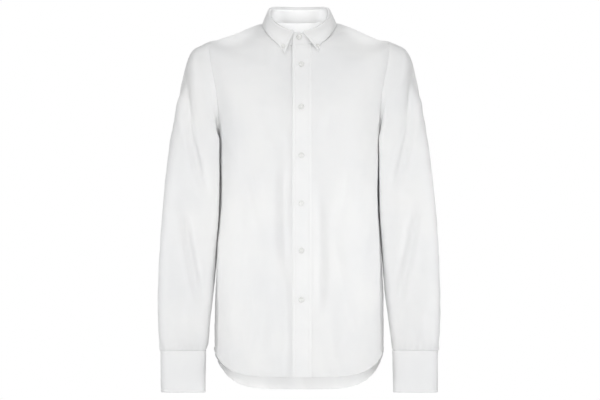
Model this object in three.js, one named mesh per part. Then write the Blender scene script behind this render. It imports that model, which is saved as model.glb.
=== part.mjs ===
// A long-sleeved casual shirt with a button-down collar, buttoned up and filled out as it is when worn,
// hollow inside. Each piece that a shirtmaker cuts is one solid: two fronts, button band, back, yoke,
// sleeves, sleeve plackets, cuffs, collar stand, collar leaf and buttons.
// Millimetres, +Z up, +X to the wearer's left, -Y to the wearer's front. The origin is the middle of the
// neck, level with the seam where the collar meets the shoulders.
import * as THREE from "three";

// ---- Driving dimensions ----
const CLOTH = 1.2; // wall of a single piece of cloth
const CUFF_CLOTH = 1.8; // wall of a cuff, which is two layers and an interlining
const SEAM_GAP = 0.3; // clearance between neighbouring pieces
const LAYER = CLOTH + 0.4; // how far a piece lies above the one beneath it

const BAND_LEFT = -14; // x of the button band's free edge
const BAND_RIGHT = 24; // x of the button band's sewn edge
const BAND_MIDDLE = (BAND_LEFT + BAND_RIGHT) / 2;
const UNDERLAP = 22; // x that the wearer's right front reaches under the band
const LIFT_EASE = 40; // over this width the wearer's left front climbs onto the right one
const PRESS = 0.7; // how far the right front is pressed in where it lies beneath

const HEM_SIDE = -644; // hem heights at the side seams, middle front and middle back
const HEM_FRONT = -696;
const HEM_BACK = -726;
const HEM_CURVE = 5; // how late the shirt-tail hem turns up towards the side seams

const SIDE_ROWS = 18; // rows of cloth from hem to underarm
const FRONT_ARM_ROWS = 9; // rows along the front, yoke and back parts of an armhole
const YOKE_ARM_ROWS = 7;
const BACK_ARM_ROWS = 7;
const NECK_COLUMNS = 6; // columns of a front that end at the neck, and at the yoke
const FRONT_YOKE_COLUMNS = 6;
const BACK_COLUMNS = 18;

// Rings round the body from below the hem up to the neck. side, front and back are the distances from the
// middle, each with its height; tilt is how steeply the ring climbs backwards at the side, and square its
// squareness, 2 for an ellipse.
const BODY = [
  { side: 170.5, sideZ: -740, front: 121, frontZ: -740, back: 125.5, backZ: -740, tilt: 0, square: 2.3 },
  { side: 169.5, sideZ: -665, front: 119, frontZ: -665, back: 122, backZ: -665, tilt: 0, square: 2.3 },
  { side: 168, sideZ: -590, front: 116.5, frontZ: -590, back: 117.5, backZ: -590, tilt: 0, square: 2.3 },
  { side: 166, sideZ: -515, front: 114.5, frontZ: -515, back: 111, backZ: -515, tilt: 0, square: 2.3 },
  { side: 162.5, sideZ: -440, front: 113.5, frontZ: -440, back: 105, backZ: -440, tilt: 0, square: 2.3 },
  { side: 157.5, sideZ: -365, front: 115.5, frontZ: -365, back: 100.5, backZ: -365, tilt: 0, square: 2.3 },
  { side: 157.5, sideZ: -290, front: 121, frontZ: -290, back: 106, backZ: -290, tilt: 0, square: 2.35 },
  { side: 161, sideZ: -215, front: 126.5, frontZ: -222, back: 115.5, backZ: -212, tilt: 0, square: 2.4 },
  { side: 171, sideZ: -160, front: 124, frontZ: -178, back: 121, backZ: -160, tilt: 0, square: 2.4 },
  { side: 182, sideZ: -112, front: 114.5, frontZ: -143, back: 117.5, backZ: -112, tilt: 0, square: 2.35 },
  { side: 189, sideZ: -72, front: 103, frontZ: -116, back: 109, backZ: -74, tilt: 0, square: 2.3 },
  { side: 185.5, sideZ: -34, front: 92.5, frontZ: -93, back: 94.5, backZ: -42, tilt: 0, square: 2.25 },
  { side: 160, sideZ: -22.5, front: 83.5, frontZ: -73, back: 80, backZ: -19, tilt: 4, square: 2.2 },
  { side: 125, sideZ: -10, front: 76.5, frontZ: -57, back: 69, backZ: -4, tilt: 9, square: 2.2 },
  { side: 93, sideZ: 1, front: 71.5, frontZ: -45, back: 61.5, backZ: 5, tilt: 15, square: 2.2 },
  { side: 66, sideZ: 5.5, front: 66, frontZ: -37, back: 56, backZ: 11, tilt: 20, square: 2.2 },
];
const NECK = BODY.length - 1; // the ring where the collar is sewn on
const UNDERARM = 7; // the ring at the foot of the armhole
const ARM_TOP = 11.5; // the ring at the top of the armhole
const ARM_FRONT = 28; // how far the armhole reaches round to the front and back, in degrees
const ARM_BACK = 25;
const YOKE_FRONT_AT = 150; // where the yoke's seams meet the armhole, in degrees round it from the underarm
const YOKE_BACK_AT = 256;
const YOKE_NECK_TURN = 65; // where the yoke's front seam meets the neck, in degrees from the middle front
const YOKE_BACK_RING = 9.68; // the ring of the yoke's seam at the middle back

// The top edge of the collar stand, which the leaf folds over.
const STAND_TOP = { side: 58.5, sideZ: 29, front: 57, frontZ: -11, back: 49, backZ: 38.5, tilt: 27, square: 2.3 };
const STAND_ROWS = 3;
const STAND_COLUMNS = 40;

// The collar leaf's outer edge, seen from the front, from its point to the shoulder, and then by ring.
const LEAF_EDGE = [
  { x: 41, z: -37 },
  { x: 54, z: -25.5 },
  { x: 63, z: -16 },
  { x: 69, z: -6.5 },
];
const LEAF_SHOULDER_RING = 14.7;
const LEAF_BACK_RING = 13.9;
const LEAF_CLEAR = 2.6; // how far the leaf's outer face stands off the shirt at its edge
const LEAF_ROLL = 3.5; // how far the leaf bulges between fold and edge
const RIGHT_POINT = { x: 28.6, z: -50, top: 12 }; // each leaf's point, and where its front edge leaves the fold
const LEFT_POINT = { x: 38.6, z: -46.6, top: 8 };
const LEAF_COLUMNS = 44;

// Sleeve stations from the armhole down to the cuff: the outer and inner points in the front view, the
// middle's y, and the depth to the front and back of it.
const SLEEVE = [
  { outerX: 172.5, outerZ: -31, innerX: 161, innerZ: -215, middle: 0, front: 54, back: 55 },
  { outerX: 193, outerZ: -37, innerX: 161.5, innerZ: -219, middle: 1, front: 58, back: 59 },
  { outerX: 210, outerZ: -45, innerX: 160, innerZ: -224, middle: 3, front: 61, back: 62 },
  { outerX: 220.5, outerZ: -60, innerX: 157, innerZ: -230, middle: 6, front: 62, back: 63 },
  { outerX: 227, outerZ: -82, innerX: 154, innerZ: -238, middle: 10, front: 62, back: 63 },
  { outerX: 234.5, outerZ: -112, innerX: 152, innerZ: -248, middle: 14, front: 61, back: 62 },
  { outerX: 241.5, outerZ: -148, innerX: 151, innerZ: -263, middle: 18, front: 59.5, back: 61 },
  { outerX: 250.5, outerZ: -190, innerX: 150.5, innerZ: -284, middle: 21, front: 58, back: 59.5 },
  { outerX: 258.5, outerZ: -236, innerX: 151, innerZ: -312, middle: 23, front: 56, back: 57.5 },
  { outerX: 265.5, outerZ: -284, innerX: 153, innerZ: -346, middle: 24, front: 54.5, back: 55.5 },
  { outerX: 271.5, outerZ: -334, innerX: 156, innerZ: -384, middle: 22, front: 53, back: 53.5 },
  { outerX: 276, outerZ: -386, innerX: 161, innerZ: -424, middle: 19, front: 51.5, back: 51.5 },
  { outerX: 279.5, outerZ: -440, innerX: 166, innerZ: -466, middle: 14, front: 50, back: 49.5 },
  { outerX: 282, outerZ: -494, innerX: 171, innerZ: -508, middle: 8, front: 48, back: 47.5 },
  { outerX: 283, outerZ: -544, innerX: 176, innerZ: -550, middle: 2, front: 46, back: 45.5 },
  { outerX: 282.5, outerZ: -588, innerX: 180.5, innerZ: -590, middle: -3, front: 43, back: 43 },
  { outerX: 280, outerZ: -624, innerX: 184, innerZ: -624, middle: -7, front: 38.5, back: 38.5 },
  { outerX: 276.5, outerZ: -644, innerX: 187, innerZ: -644, middle: -9, front: 32, back: 32 },
];
const SLEEVE_SQUARE = 2.15;
const SLEEVE_RINGS = 28;
const ARM_BLEND = 3.2; // stations over which the sleeve leaves the armhole's outline
const BODY_CLEAR = 3; // gap between the sleeve and the side of the body
const UNDERARM_FOLD = 3; // how far the sleeve folds away from the body just past the underarm seam
const PLEATS = [8, 10]; // columns of the sleeve that are pleated into the cuff
const PLEAT_HEIGHT = 2;
const PLEAT_LENGTH = 45;

// Cuff: two rings, the overlap's place round the wrist and its size.
const CUFF = [
  { outerX: 276.8, outerZ: -644, innerX: 186.7, innerZ: -644, middle: -9, front: 32.5, back: 32.5 },
  { outerX: 276, outerZ: -728, innerX: 188.6, innerZ: -728, middle: -10, front: 31.5, back: 31.5 },
];
const CUFF_OPEN_AT = 224; // degrees round the wrist from the inner side
const CUFF_OVERLAP = 34;
const CUFF_COLUMNS = 28;
const CUFF_ROWS = 3;
const SLEEVE_PLACKET = { from: 208, to: 224, length: 130, rows: 6 };

// The largest folds, each a soft trough (negative depth) or ridge along a bowed line in the front view.
const BODY_FOLDS = [
  { face: 1, fromX: -27, fromZ: -262, toX: -33, toZ: -400, bow: 8, width: 13, depth: -3.4 },
  { face: 1, fromX: -34, fromZ: -385, toX: -27, toZ: -560, bow: -3, width: 14, depth: -2.4 },
  { face: 1, fromX: 48, fromZ: -270, toX: 44, toZ: -560, bow: 5, width: 14, depth: -2.8 },
  { face: 1, fromX: 76, fromZ: -350, toX: 106, toZ: -600, bow: 12, width: 15, depth: -2.8 },
  { face: 1, fromX: -64, fromZ: -350, toX: -70, toZ: -490, bow: 0, width: 15, depth: -2.2 },
  { face: 1, fromX: -118, fromZ: -300, toX: -138, toZ: -430, bow: -8, width: 17, depth: -3 },
  { face: 1, fromX: 120, fromZ: -310, toX: 138, toZ: -440, bow: 8, width: 17, depth: -3 },
  { face: -1, fromX: -62, fromZ: -110, toX: -54, toZ: -420, bow: 6, width: 17, depth: -4 },
  { face: -1, fromX: 66, fromZ: -120, toX: 50, toZ: -440, bow: -6, width: 17, depth: -4 },
  { face: -1, fromX: 4, fromZ: -260, toX: -8, toZ: -520, bow: 5, width: 16, depth: -3.2 },
  { face: -1, fromX: -100, fromZ: -300, toX: -78, toZ: -560, bow: 6, width: 16, depth: -3.2 },
  { face: -1, fromX: 104, fromZ: -310, toX: 84, toZ: -590, bow: -5, width: 16, depth: -3.2 },
];
const SLEEVE_FOLDS = [
  { face: 1, fromX: 221, fromZ: -92, toX: 160, toZ: -352, bow: 14, width: 13, depth: -5 },
  { face: 1, fromX: 234, fromZ: -270, toX: 176, toZ: -580, bow: 13, width: 15, depth: -4 },
  { face: 1, fromX: 176, fromZ: -96, toX: 172, toZ: -200, bow: -6, width: 12, depth: -3 },
  { face: -1, fromX: 214, fromZ: -96, toX: 166, toZ: -330, bow: 10, width: 15, depth: -4.5 },
  { face: -1, fromX: 262, fromZ: -352, toX: 182, toZ: -420, bow: -8, width: 13, depth: -4.5 },
  { face: -1, fromX: 262, fromZ: -420, toX: 186, toZ: -500, bow: 6, width: 14, depth: -3.5 },
];

// Buttons: outer radius, thickness, and how far each stands above the cloth beneath it.
const BUTTON = { radius: 5.6, thick: 2.2 };
const SMALL_BUTTON = { radius: 4.4, thick: 1.9 };
const BUTTON_SIDES = 14;
const FIRST_BUTTON_Z = -75;
const SECOND_BUTTON_Z = -161;
const BUTTON_PITCH = 95;
const BAND_BUTTONS = 6;
const STAND_BUTTON_X = 0;

// ---- Colours ----
const cloth = new THREE.MeshStandardMaterial({ color: 0xf1f1f0, roughness: 0.85, metalness: 0 });
const plastic = new THREE.MeshStandardMaterial({ color: 0xe6e6e4, roughness: 0.3, metalness: 0 });

// ---- Small helpers ----
const clamp = (value, low, high) => Math.min(high, Math.max(low, value));
const smooth = (value) => {
  const s = clamp(value, 0, 1);
  return s * s * (3 - 2 * s);
};
const mix = (a, b, share) => a + (b - a) * share;
const radians = THREE.MathUtils.degToRad;
const steps = (count, make) => Array.from({ length: count + 1 }, (_, i) => make(i / count, i));

// A column's value at any place between the rows of a table, on a smooth curve through them.
function between(rows, column, at) {
  const last = rows.length - 1;
  const i = clamp(Math.floor(at), 0, last - 1);
  const here = rows[i][column];
  const next = rows[i + 1][column];
  const before = i > 0 ? rows[i - 1][column] : 2 * here - next;
  const after = i + 2 <= last ? rows[i + 2][column] : 2 * next - here;
  const f = at - i;
  return (
    here +
    0.5 * f * (next - before + f * (2 * before - 5 * here + 4 * next - after + f * (3 * (here - next) + after - before)))
  );
}

function rowAt(rows, at) {
  return Object.fromEntries(Object.keys(rows[0]).map((column) => [column, between(rows, column, at)]));
}

// How far a rounded-square outline stands out from an ellipse in the direction of these two shares.
function squareness(a, b, power) {
  return (Math.abs(a) ** power + Math.abs(b) ** power) ** (-1 / power);
}

// A point of a ring round the body or neck, turn degrees from the middle front towards the wearer's left.
function ringPoint(ring, turn, out = 0) {
  const s = Math.sin(radians(turn));
  const c = Math.cos(radians(turn));
  const q = squareness(s, c, ring.square);
  const depth = (c > 0 ? ring.front : ring.back) + out;
  const rise = c > 0 ? ring.frontZ - ring.sideZ + ring.tilt : ring.backZ - ring.sideZ - ring.tilt;
  return new THREE.Vector3((ring.side + out) * q * s, -depth * q * c, ring.sideZ - ring.tilt * c + rise * c * c);
}

// The sum of the folds that pass near a point of the front view, on its own face of the garment.
function foldDepth(folds, x, z, facing) {
  let total = 0;
  for (const fold of folds) {
    const runX = fold.toX - fold.fromX;
    const runZ = fold.toZ - fold.fromZ;
    const run = Math.hypot(runX, runZ);
    const along = ((x - fold.fromX) * runX + (z - fold.fromZ) * runZ) / run ** 2;
    const across = ((x - fold.fromX) * runZ - (z - fold.fromZ) * runX) / run;
    const q = clamp(along, 0, 1);
    const off = across - fold.bow * 4 * q * (1 - q);
    const ends = smooth(along / 0.3) * smooth((1 - along) / 0.3);
    total += fold.depth * Math.exp(-((off / fold.width) ** 2)) * ends * smooth(facing * fold.face * 3);
  }
  return total;
}

// ---- The body's surface ----
function bodyPlain(turn, ring) {
  return ringPoint(rowAt(BODY, ring), turn);
}

function bodyNormal(turn, ring) {
  const around = bodyPlain(turn + 1, ring).sub(bodyPlain(turn - 1, ring));
  const up = bodyPlain(turn, ring + 0.05).sub(bodyPlain(turn, ring - 0.05));
  return around.cross(up).normalize();
}

// A point of the shirt's body with its folds, out mm above the plain cloth.
function bodyPoint(turn, ring, out = 0) {
  const p = bodyPlain(turn, ring);
  const fold = foldDepth(BODY_FOLDS, p.x, p.z, Math.cos(radians(turn)));
  return p.addScaledVector(bodyNormal(turn, ring), out + fold);
}

// The turn at which a ring reaches this x, near the middle front.
function turnAt(ring, x) {
  const row = rowAt(BODY, ring);
  let turn = 0;
  for (let i = 0; i < 6; i++) {
    const s = Math.sin(radians(turn));
    const q = squareness(s, Math.cos(radians(turn)), row.square);
    turn = THREE.MathUtils.radToDeg(Math.asin(clamp(x / (row.side * q), -1, 1)));
  }
  return turn;
}

// The place on the body's front with this x and z in the front view, as [turn, ring].
function frontPlace(x, z) {
  let low = 0;
  let high = NECK;
  for (let i = 0; i < 40; i++) {
    const ring = (low + high) / 2;
    if (bodyPlain(turnAt(ring, x), ring).z < z) low = ring;
    else high = ring;
  }
  return [turnAt(low, x), low];
}

// The ring at the height of the hem.
function hemRing(turn) {
  const middle = Math.cos(radians(turn)) > 0 ? HEM_FRONT : HEM_BACK;
  const z = mix(middle, HEM_SIDE, Math.abs(Math.sin(radians(turn))) ** HEM_CURVE);
  return (z - BODY[0].sideZ) / (BODY[1].sideZ - BODY[0].sideZ);
}

// The armhole's line on the body as [turn, ring], at degrees round it: 0 the underarm, 90 front, 180 top.
function armhole(at) {
  const reach = Math.sin(radians(at));
  const ring = mix(UNDERARM, ARM_TOP, (1 - Math.cos(radians(at))) / 2);
  return [90 - (reach > 0 ? ARM_FRONT : ARM_BACK) * reach, ring];
}

// ---- Walls of cloth ----
// A closed wall between an outer and an inner skin, each a grid of rows and columns. A ring's columns join up.
function wallGeometry(outer, inner, isRing = false) {
  const rows = outer.length;
  const columns = outer[0].length;
  const skin = rows * columns;
  const id = (layer, row, column) => layer * skin + row * columns + (column % columns);
  const faces = [];
  const points = [...outer.flat(), ...inner.flat()];
  const positions = points.flatMap((p) => [p.x, p.y, p.z]);
  const quad = (a, b, c, d) => {
    const longer = points[a].distanceTo(points[c]) > points[b].distanceTo(points[d]) + 0.01;
    if (longer) faces.push(a, b, d, b, c, d);
    else faces.push(a, b, c, a, c, d);
  };
  const spans = isRing ? columns : columns - 1;
  for (let r = 0; r < rows - 1; r++) {
    for (let c = 0; c < spans; c++) {
      quad(id(0, r, c), id(0, r, c + 1), id(0, r + 1, c + 1), id(0, r + 1, c));
      quad(id(1, r, c), id(1, r + 1, c), id(1, r + 1, c + 1), id(1, r, c + 1));
    }
    if (!isRing) {
      const end = columns - 1;
      quad(id(0, r, 0), id(0, r + 1, 0), id(1, r + 1, 0), id(1, r, 0));
      quad(id(0, r, end), id(1, r, end), id(1, r + 1, end), id(0, r + 1, end));
    }
  }
  const top = rows - 1;
  for (let c = 0; c < spans; c++) {
    quad(id(0, 0, c), id(1, 0, c), id(1, 0, c + 1), id(0, 0, c + 1));
    quad(id(0, top, c), id(0, top, c + 1), id(1, top, c + 1), id(1, top, c));
  }
  if (signedVolume(positions, faces) < 0) faces.reverse();
  const geometry = new THREE.BufferGeometry();
  geometry.setAttribute("position", new THREE.Float32BufferAttribute(positions, 3));
  geometry.setIndex(faces);
  geometry.computeVertexNormals();
  return geometry;
}

function signedVolume(positions, faces) {
  const corner = (i) => new THREE.Vector3().fromArray(positions, 3 * faces[i]);
  let volume = 0;
  for (let i = 0; i < faces.length; i += 3) volume += corner(i).dot(corner(i + 1).cross(corner(i + 2))) / 6;
  return volume;
}

// A wall from a grid of { point, out }, out being the way the outer face looks. Its edges are drawn in by
// half a seam gap, and the wall's thickness goes inwards.
function clothWall(grid, thick = CLOTH, isRing = false) {
  const rows = grid.length;
  const columns = grid[0].length;
  const pointAt = (r, c) => grid[clamp(r, 0, rows - 1)][isRing ? (c + columns) % columns : clamp(c, 0, columns - 1)].point;
  const drawIn = (row, column) => {
    const here = pointAt(row, column);
    const shift = new THREE.Vector3();
    const towards = (inner, before, after) => {
      const along = after.clone().sub(before).normalize();
      const step = inner.clone().sub(here);
      step.addScaledVector(along, -step.dot(along));
      shift.addScaledVector(step.normalize(), SEAM_GAP / 2);
    };
    const alongRow = [pointAt(row, column - 1), pointAt(row, column + 1)];
    const alongColumn = [pointAt(row - 1, column), pointAt(row + 1, column)];
    if (row === 0) towards(pointAt(1, column), ...alongRow);
    if (row === rows - 1) towards(pointAt(rows - 2, column), ...alongRow);
    if (!isRing && column === 0) towards(pointAt(row, 1), ...alongColumn);
    if (!isRing && column === columns - 1) towards(pointAt(row, columns - 2), ...alongColumn);
    return here.clone().add(shift);
  };
  const outer = grid.map((line, r) => line.map((_, c) => drawIn(r, c)));
  const inner = outer.map((line, r) => line.map((p, c) => p.clone().addScaledVector(grid[r][c].out, -thick)));
  return wallGeometry(outer, inner, isRing);
}

// The places inside four edges, each a list of [turn, ring]. Along a row the turn runs from the left edge to
// the right one, spaced as the bottom and top edges are, and the ring follows the shape of those two edges.
function fillPatch(bottom, top, left, right) {
  const lastRow = left.length - 1;
  const lastColumn = bottom.length - 1;
  const aboveArm = (j) => Math.max(0, (j - SIDE_ROWS) / (lastRow - SIDE_ROWS));
  const belowArm = (j) => Math.max(0, 1 - j / SIDE_ROWS);
  const shareOf = (edge, i) => (edge[i][0] - edge[0][0]) / (edge[lastColumn][0] - edge[0][0]);
  const swell = (edge, i) => edge[i][1] - mix(edge[0][1], edge[lastColumn][1], shareOf(edge, i));
  return left.map((_, j) =>
    bottom.map((_, i) => {
      const f = mix(shareOf(bottom, i), shareOf(top, i), (j / lastRow) ** 3);
      const swells = belowArm(j) ** 2 * swell(bottom, i) + aboveArm(j) ** 2 * swell(top, i);
      const ring = mix(left[j][1], right[j][1], f) + swells;
      return [mix(left[j][0], right[j][0], f), ring];
    }),
  );
}

// The yoke's places, which run straight from its outer edge to the neck.
function ruledPatch(outerEdge, neckEdge, rows) {
  return steps(rows, (w) => outerEdge.map(([turn, ring], i) => [mix(turn, neckEdge[i][0], w), mix(ring, neckEdge[i][1], w)]));
}

const group = new THREE.Group();
group.name = "casual_shirt";

function addPiece(name, geometry, material = cloth) {
  const mesh = new THREE.Mesh(geometry, material);
  mesh.name = name;
  group.add(mesh);
  return mesh;
}

// ---- Sleeve surface ----
// The body's half width at this depth and height, below the underarm.
function bodyHalfWidth(y, z) {
  const ring = rowAt(BODY, clamp((z - BODY[0].sideZ) / (BODY[1].sideZ - BODY[0].sideZ), 0, UNDERARM));
  const share = clamp(Math.abs(y) / (y < 0 ? ring.front : ring.back), 0, 1);
  return ring.side * (1 - share ** ring.square) ** (1 / ring.square);
}

function sectionPoint(station, at, out = 0) {
  const s = Math.sin(radians(at));
  const c = Math.cos(radians(at));
  const q = squareness(s, c, SLEEVE_SQUARE);
  const halfX = (station.outerX - station.innerX) / 2;
  const halfZ = (station.outerZ - station.innerZ) / 2;
  const grow = 1 + out / Math.hypot(halfX, halfZ);
  const depth = (s > 0 ? station.front : station.back) + out;
  return new THREE.Vector3(
    station.innerX + halfX - halfX * c * q * grow,
    station.middle - depth * s * q,
    station.innerZ + halfZ - halfZ * c * q * grow,
  );
}

// A point of the wearer's left sleeve, at degrees round it from the inner side and stations down it.
function sleevePlain(at, station) {
  const p = sectionPoint(rowAt(SLEEVE, station), at);
  const left = 1 - smooth(station / ARM_BLEND);
  if (left > 0) {
    const [turn, ring] = armhole(at);
    p.addScaledVector(bodyPlain(turn, ring).sub(sectionPoint(SLEEVE[0], at)), left);
  }
  const foldedOut = smooth(1.6 * station) * (1 - smooth((station - 0.8) / 3)) * smooth(Math.cos(radians(at)) + 0.4);
  p.x += UNDERARM_FOLD * foldedOut;
  const press = smooth((BODY[UNDERARM].sideZ + 4 - p.z) / 16);
  const nearest = bodyHalfWidth(p.y, p.z) + BODY_CLEAR;
  if (p.x < nearest) p.x = mix(p.x, nearest, press);
  return p;
}

function sleeveNormal(at, station) {
  const low = Math.max(station - 0.05, 0);
  const down = sleevePlain(at, low + 0.1).sub(sleevePlain(at, low));
  const around = sleevePlain(at + 2, station).sub(sleevePlain(at - 2, station));
  return down.cross(around).normalize();
}

// The wearer's right sleeve wears its folds a little lower than the left.
function sleevePoint(at, station, out, foldShift) {
  const p = sleevePlain(at, station);
  const away = smooth((station - 1) / 3);
  const fold = foldDepth(SLEEVE_FOLDS, p.x, p.z + foldShift, Math.sin(radians(at))) * away;
  return p.addScaledVector(sleeveNormal(at, station), out + fold);
}

const ARMHOLE_STOPS = [
  ...steps(FRONT_ARM_ROWS, (f) => mix(0, YOKE_FRONT_AT, f)).slice(0, -1),
  ...steps(YOKE_ARM_ROWS, (f) => mix(YOKE_FRONT_AT, YOKE_BACK_AT, f)).slice(0, -1),
  ...steps(BACK_ARM_ROWS, (f) => mix(YOKE_BACK_AT, 360, f)).slice(0, -1),
];

// Where cloth meets at the armhole, both walls are mitred along the same line.
function mitre(at) {
  const [turn, ring] = armhole(at);
  return bodyNormal(turn, ring).add(sleeveNormal(at, 0)).normalize();
}

// ---- Body panels ----
const mirrorX = (v) => new THREE.Vector3(-v.x, v.y, v.z);

// A body panel's grid from its places. stops says which [row, column] lie on an armhole, and where.
function bodyGrid(places, lift, armStops) {
  return places.map((line, r) =>
    line.map(([turn, ring], c) => {
      const at = armStops(r, c);
      const out = at === null ? bodyNormal(turn, ring) : turn > 0 && turn < 180 ? mitre(at) : mirrorX(mitre(at));
      return { point: bodyPoint(turn, ring, lift(bodyPlain(turn, ring).x)), out };
    }),
  );
}

const frontRowAt = (hem, fromUnderarm, j) =>
  j <= SIDE_ROWS ? mix(hem, UNDERARM, j / SIDE_ROWS) : fromUnderarm((j - SIDE_ROWS) / FRONT_ARM_ROWS);

// The line up the middle front at this x, as [turn, ring], from the hem to the neck.
function middleLine(x) {
  const hem = hemRing(turnAt(1, x));
  return steps(SIDE_ROWS + FRONT_ARM_ROWS, (_, j) => {
    const ring = frontRowAt(hem, (f) => mix(UNDERARM, NECK, f), j);
    return [turnAt(ring, x), ring];
  });
}

// One front, on the wearer's left for side 1 and right for -1, from the x of its middle edge.
function frontPanel(name, side, edgeX, lift) {
  const middle = middleLine(edgeX * side);
  const sideSeam = steps(SIDE_ROWS + FRONT_ARM_ROWS, (_, j) =>
    j <= SIDE_ROWS
      ? [90, mix(hemRing(90), UNDERARM, j / SIDE_ROWS)]
      : armhole(((j - SIDE_ROWS) / FRONT_ARM_ROWS) * YOKE_FRONT_AT),
  );
  const columns = NECK_COLUMNS + FRONT_YOKE_COLUMNS;
  const hem = steps(columns, (f) => {
    const turn = mix(middle[0][0], 90, f);
    return [turn, hemRing(turn)];
  });
  const corner = armhole(YOKE_FRONT_AT);
  const top = steps(columns, (_, i) => {
    if (i <= NECK_COLUMNS) return [mix(middle.at(-1)[0], YOKE_NECK_TURN, i / NECK_COLUMNS), NECK];
    const f = (i - NECK_COLUMNS) / FRONT_YOKE_COLUMNS;
    return [mix(YOKE_NECK_TURN, corner[0], f), mix(NECK, corner[1], f)];
  });
  const places = fillPatch(hem, top, middle, sideSeam);
  const turned = places.map((line) => line.map(([turn, ring]) => [turn * side, ring]));
  const armStops = (r, c) => (c === columns && r > SIDE_ROWS ? ((r - SIDE_ROWS) / FRONT_ARM_ROWS) * YOKE_FRONT_AT : null);
  addPiece(name, clothWall(bodyGrid(turned, lift, armStops)));
}

function addFronts() {
  const climb = (x) => LAYER * (1 - smooth((x - BAND_RIGHT) / LIFT_EASE));
  frontPanel("front_left", 1, BAND_LEFT, climb);
  frontPanel("front_right", -1, UNDERLAP, (x) => -PRESS * smooth((x - BAND_LEFT + 12) / 10));
}

// The button band lies on the left front, which lies on the right one.
function addBand() {
  const lines = [0, 1 / 3, 2 / 3, 1].map((f) => middleLine(mix(BAND_LEFT, BAND_RIGHT, f)));
  const places = lines[0].map((_, j) => lines.map((line) => line[j]));
  addPiece("button_band", clothWall(bodyGrid(places, () => 2 * LAYER, () => null)));
}

function yokeSeamBack(f) {
  const from = armhole(YOKE_BACK_AT);
  const turn = mix(from[0], 360 - from[0], f);
  return [turn, mix(from[1], YOKE_BACK_RING, 1 - Math.abs(2 * f - 1) ** 2)];
}

function addBack() {
  const rows = SIDE_ROWS + BACK_ARM_ROWS;
  const left = steps(rows, (_, j) =>
    j <= SIDE_ROWS
      ? [90, mix(hemRing(90), UNDERARM, j / SIDE_ROWS)]
      : armhole(mix(360, YOKE_BACK_AT, (j - SIDE_ROWS) / BACK_ARM_ROWS)),
  );
  const right = left.map(([turn, ring]) => [360 - turn, ring]);
  const hem = steps(BACK_COLUMNS, (f) => [mix(90, 270, f), hemRing(mix(90, 270, f))]);
  const top = steps(BACK_COLUMNS, (f) => yokeSeamBack(f));
  const armStops = (r, c) =>
    r > SIDE_ROWS && (c === 0 || c === BACK_COLUMNS) ? mix(360, YOKE_BACK_AT, (r - SIDE_ROWS) / BACK_ARM_ROWS) : null;
  addPiece("back", clothWall(bodyGrid(fillPatch(hem, top, left, right), () => 0, armStops)));
}

// The yoke goes over both shoulders, from the seam on the chest to the seam across the back.
function addYoke() {
  const overArm = steps(YOKE_ARM_ROWS, (f) => armhole(mix(YOKE_FRONT_AT, YOKE_BACK_AT, f)));
  const across = steps(BACK_COLUMNS, (f) => yokeSeamBack(f));
  const otherArm = overArm.map(([turn, ring]) => [360 - turn, ring]).reverse();
  const outerEdge = [...overArm, ...across.slice(1), ...otherArm.slice(1)];
  const columns = outerEdge.length - 1;
  const neckTurns = [YOKE_NECK_TURN, 110, 250, 360 - YOKE_NECK_TURN];
  const neckEdge = steps(columns, (_, i) => {
    const parts = [YOKE_ARM_ROWS, BACK_COLUMNS, YOKE_ARM_ROWS];
    const part = i < parts[0] ? 0 : i < parts[0] + parts[1] ? 1 : 2;
    const start = parts.slice(0, part).reduce((a, b) => a + b, 0);
    return [mix(neckTurns[part], neckTurns[part + 1], (i - start) / parts[part]), NECK];
  });
  const armStops = (r, c) => {
    if (r > 0) return null;
    if (c <= YOKE_ARM_ROWS) return mix(YOKE_FRONT_AT, YOKE_BACK_AT, c / YOKE_ARM_ROWS);
    if (c >= columns - YOKE_ARM_ROWS) return mix(YOKE_FRONT_AT, YOKE_BACK_AT, (columns - c) / YOKE_ARM_ROWS);
    return null;
  };
  const places = ruledPatch(outerEdge, neckEdge, FRONT_YOKE_COLUMNS);
  addPiece("yoke", clothWall(bodyGrid(places, () => 0, armStops)));
}

// ---- Sleeves and cuffs ----
function eachSide(make) {
  make("left", 1);
  make("right", -1);
}

// A piece made for the wearer's left, turned over for the right.
function sided(grid, side) {
  if (side > 0) return grid;
  return grid.map((line) => line.map(({ point, out }) => ({ point: mirrorX(point), out: mirrorX(out) })));
}

const lastStation = SLEEVE.length - 1;
const foldShiftOf = (side) => (side > 0 ? 0 : 10);

function addSleeve(name, side) {
  const grid = steps(SLEEVE_RINGS, (f, row) =>
    ARMHOLE_STOPS.map((at, column) => {
      const station = f * lastStation;
      const plain = sleevePlain(at, station);
      const nearCuff = smooth(1 - (plain.z - SLEEVE[lastStation].outerZ) / PLEAT_LENGTH);
      const pleat = PLEATS.includes(column) && row < SLEEVE_RINGS ? PLEAT_HEIGHT * nearCuff : 0;
      const point = sleevePoint(at, station, row === 0 ? 0 : pleat, foldShiftOf(side));
      return { point, out: row === 0 ? mitre(at) : sleeveNormal(at, station) };
    }),
  );
  addPiece(`sleeve_${name}`, clothWall(sided(grid, side), CLOTH, true));
}

// The strip that finishes the slit above the cuff, lying on the sleeve.
function addSleevePlacket(name, side) {
  const { from, to, length, rows } = SLEEVE_PLACKET;
  const top = lastStation - length / 38;
  const grid = steps(rows, (f) =>
    steps(2, (g) => {
      const at = mix(from, to, g);
      const station = mix(top, lastStation - 0.15, f);
      return { point: sleevePoint(at, station, LAYER, foldShiftOf(side)), out: sleeveNormal(at, station) };
    }),
  );
  addPiece(`sleeve_placket_${name}`, clothWall(sided(grid, side)));
}

// Where the cuff laps over itself, its outer end lies above the inner one.
function cuffPoint(turn, row, out = 0) {
  const lap = CUFF_CLOTH + SEAM_GAP;
  const climb = lap * (1 - smooth((turn - CUFF_OVERLAP) / 60));
  return sectionPoint(rowAt(CUFF, row), CUFF_OPEN_AT + turn, out + climb);
}

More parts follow.
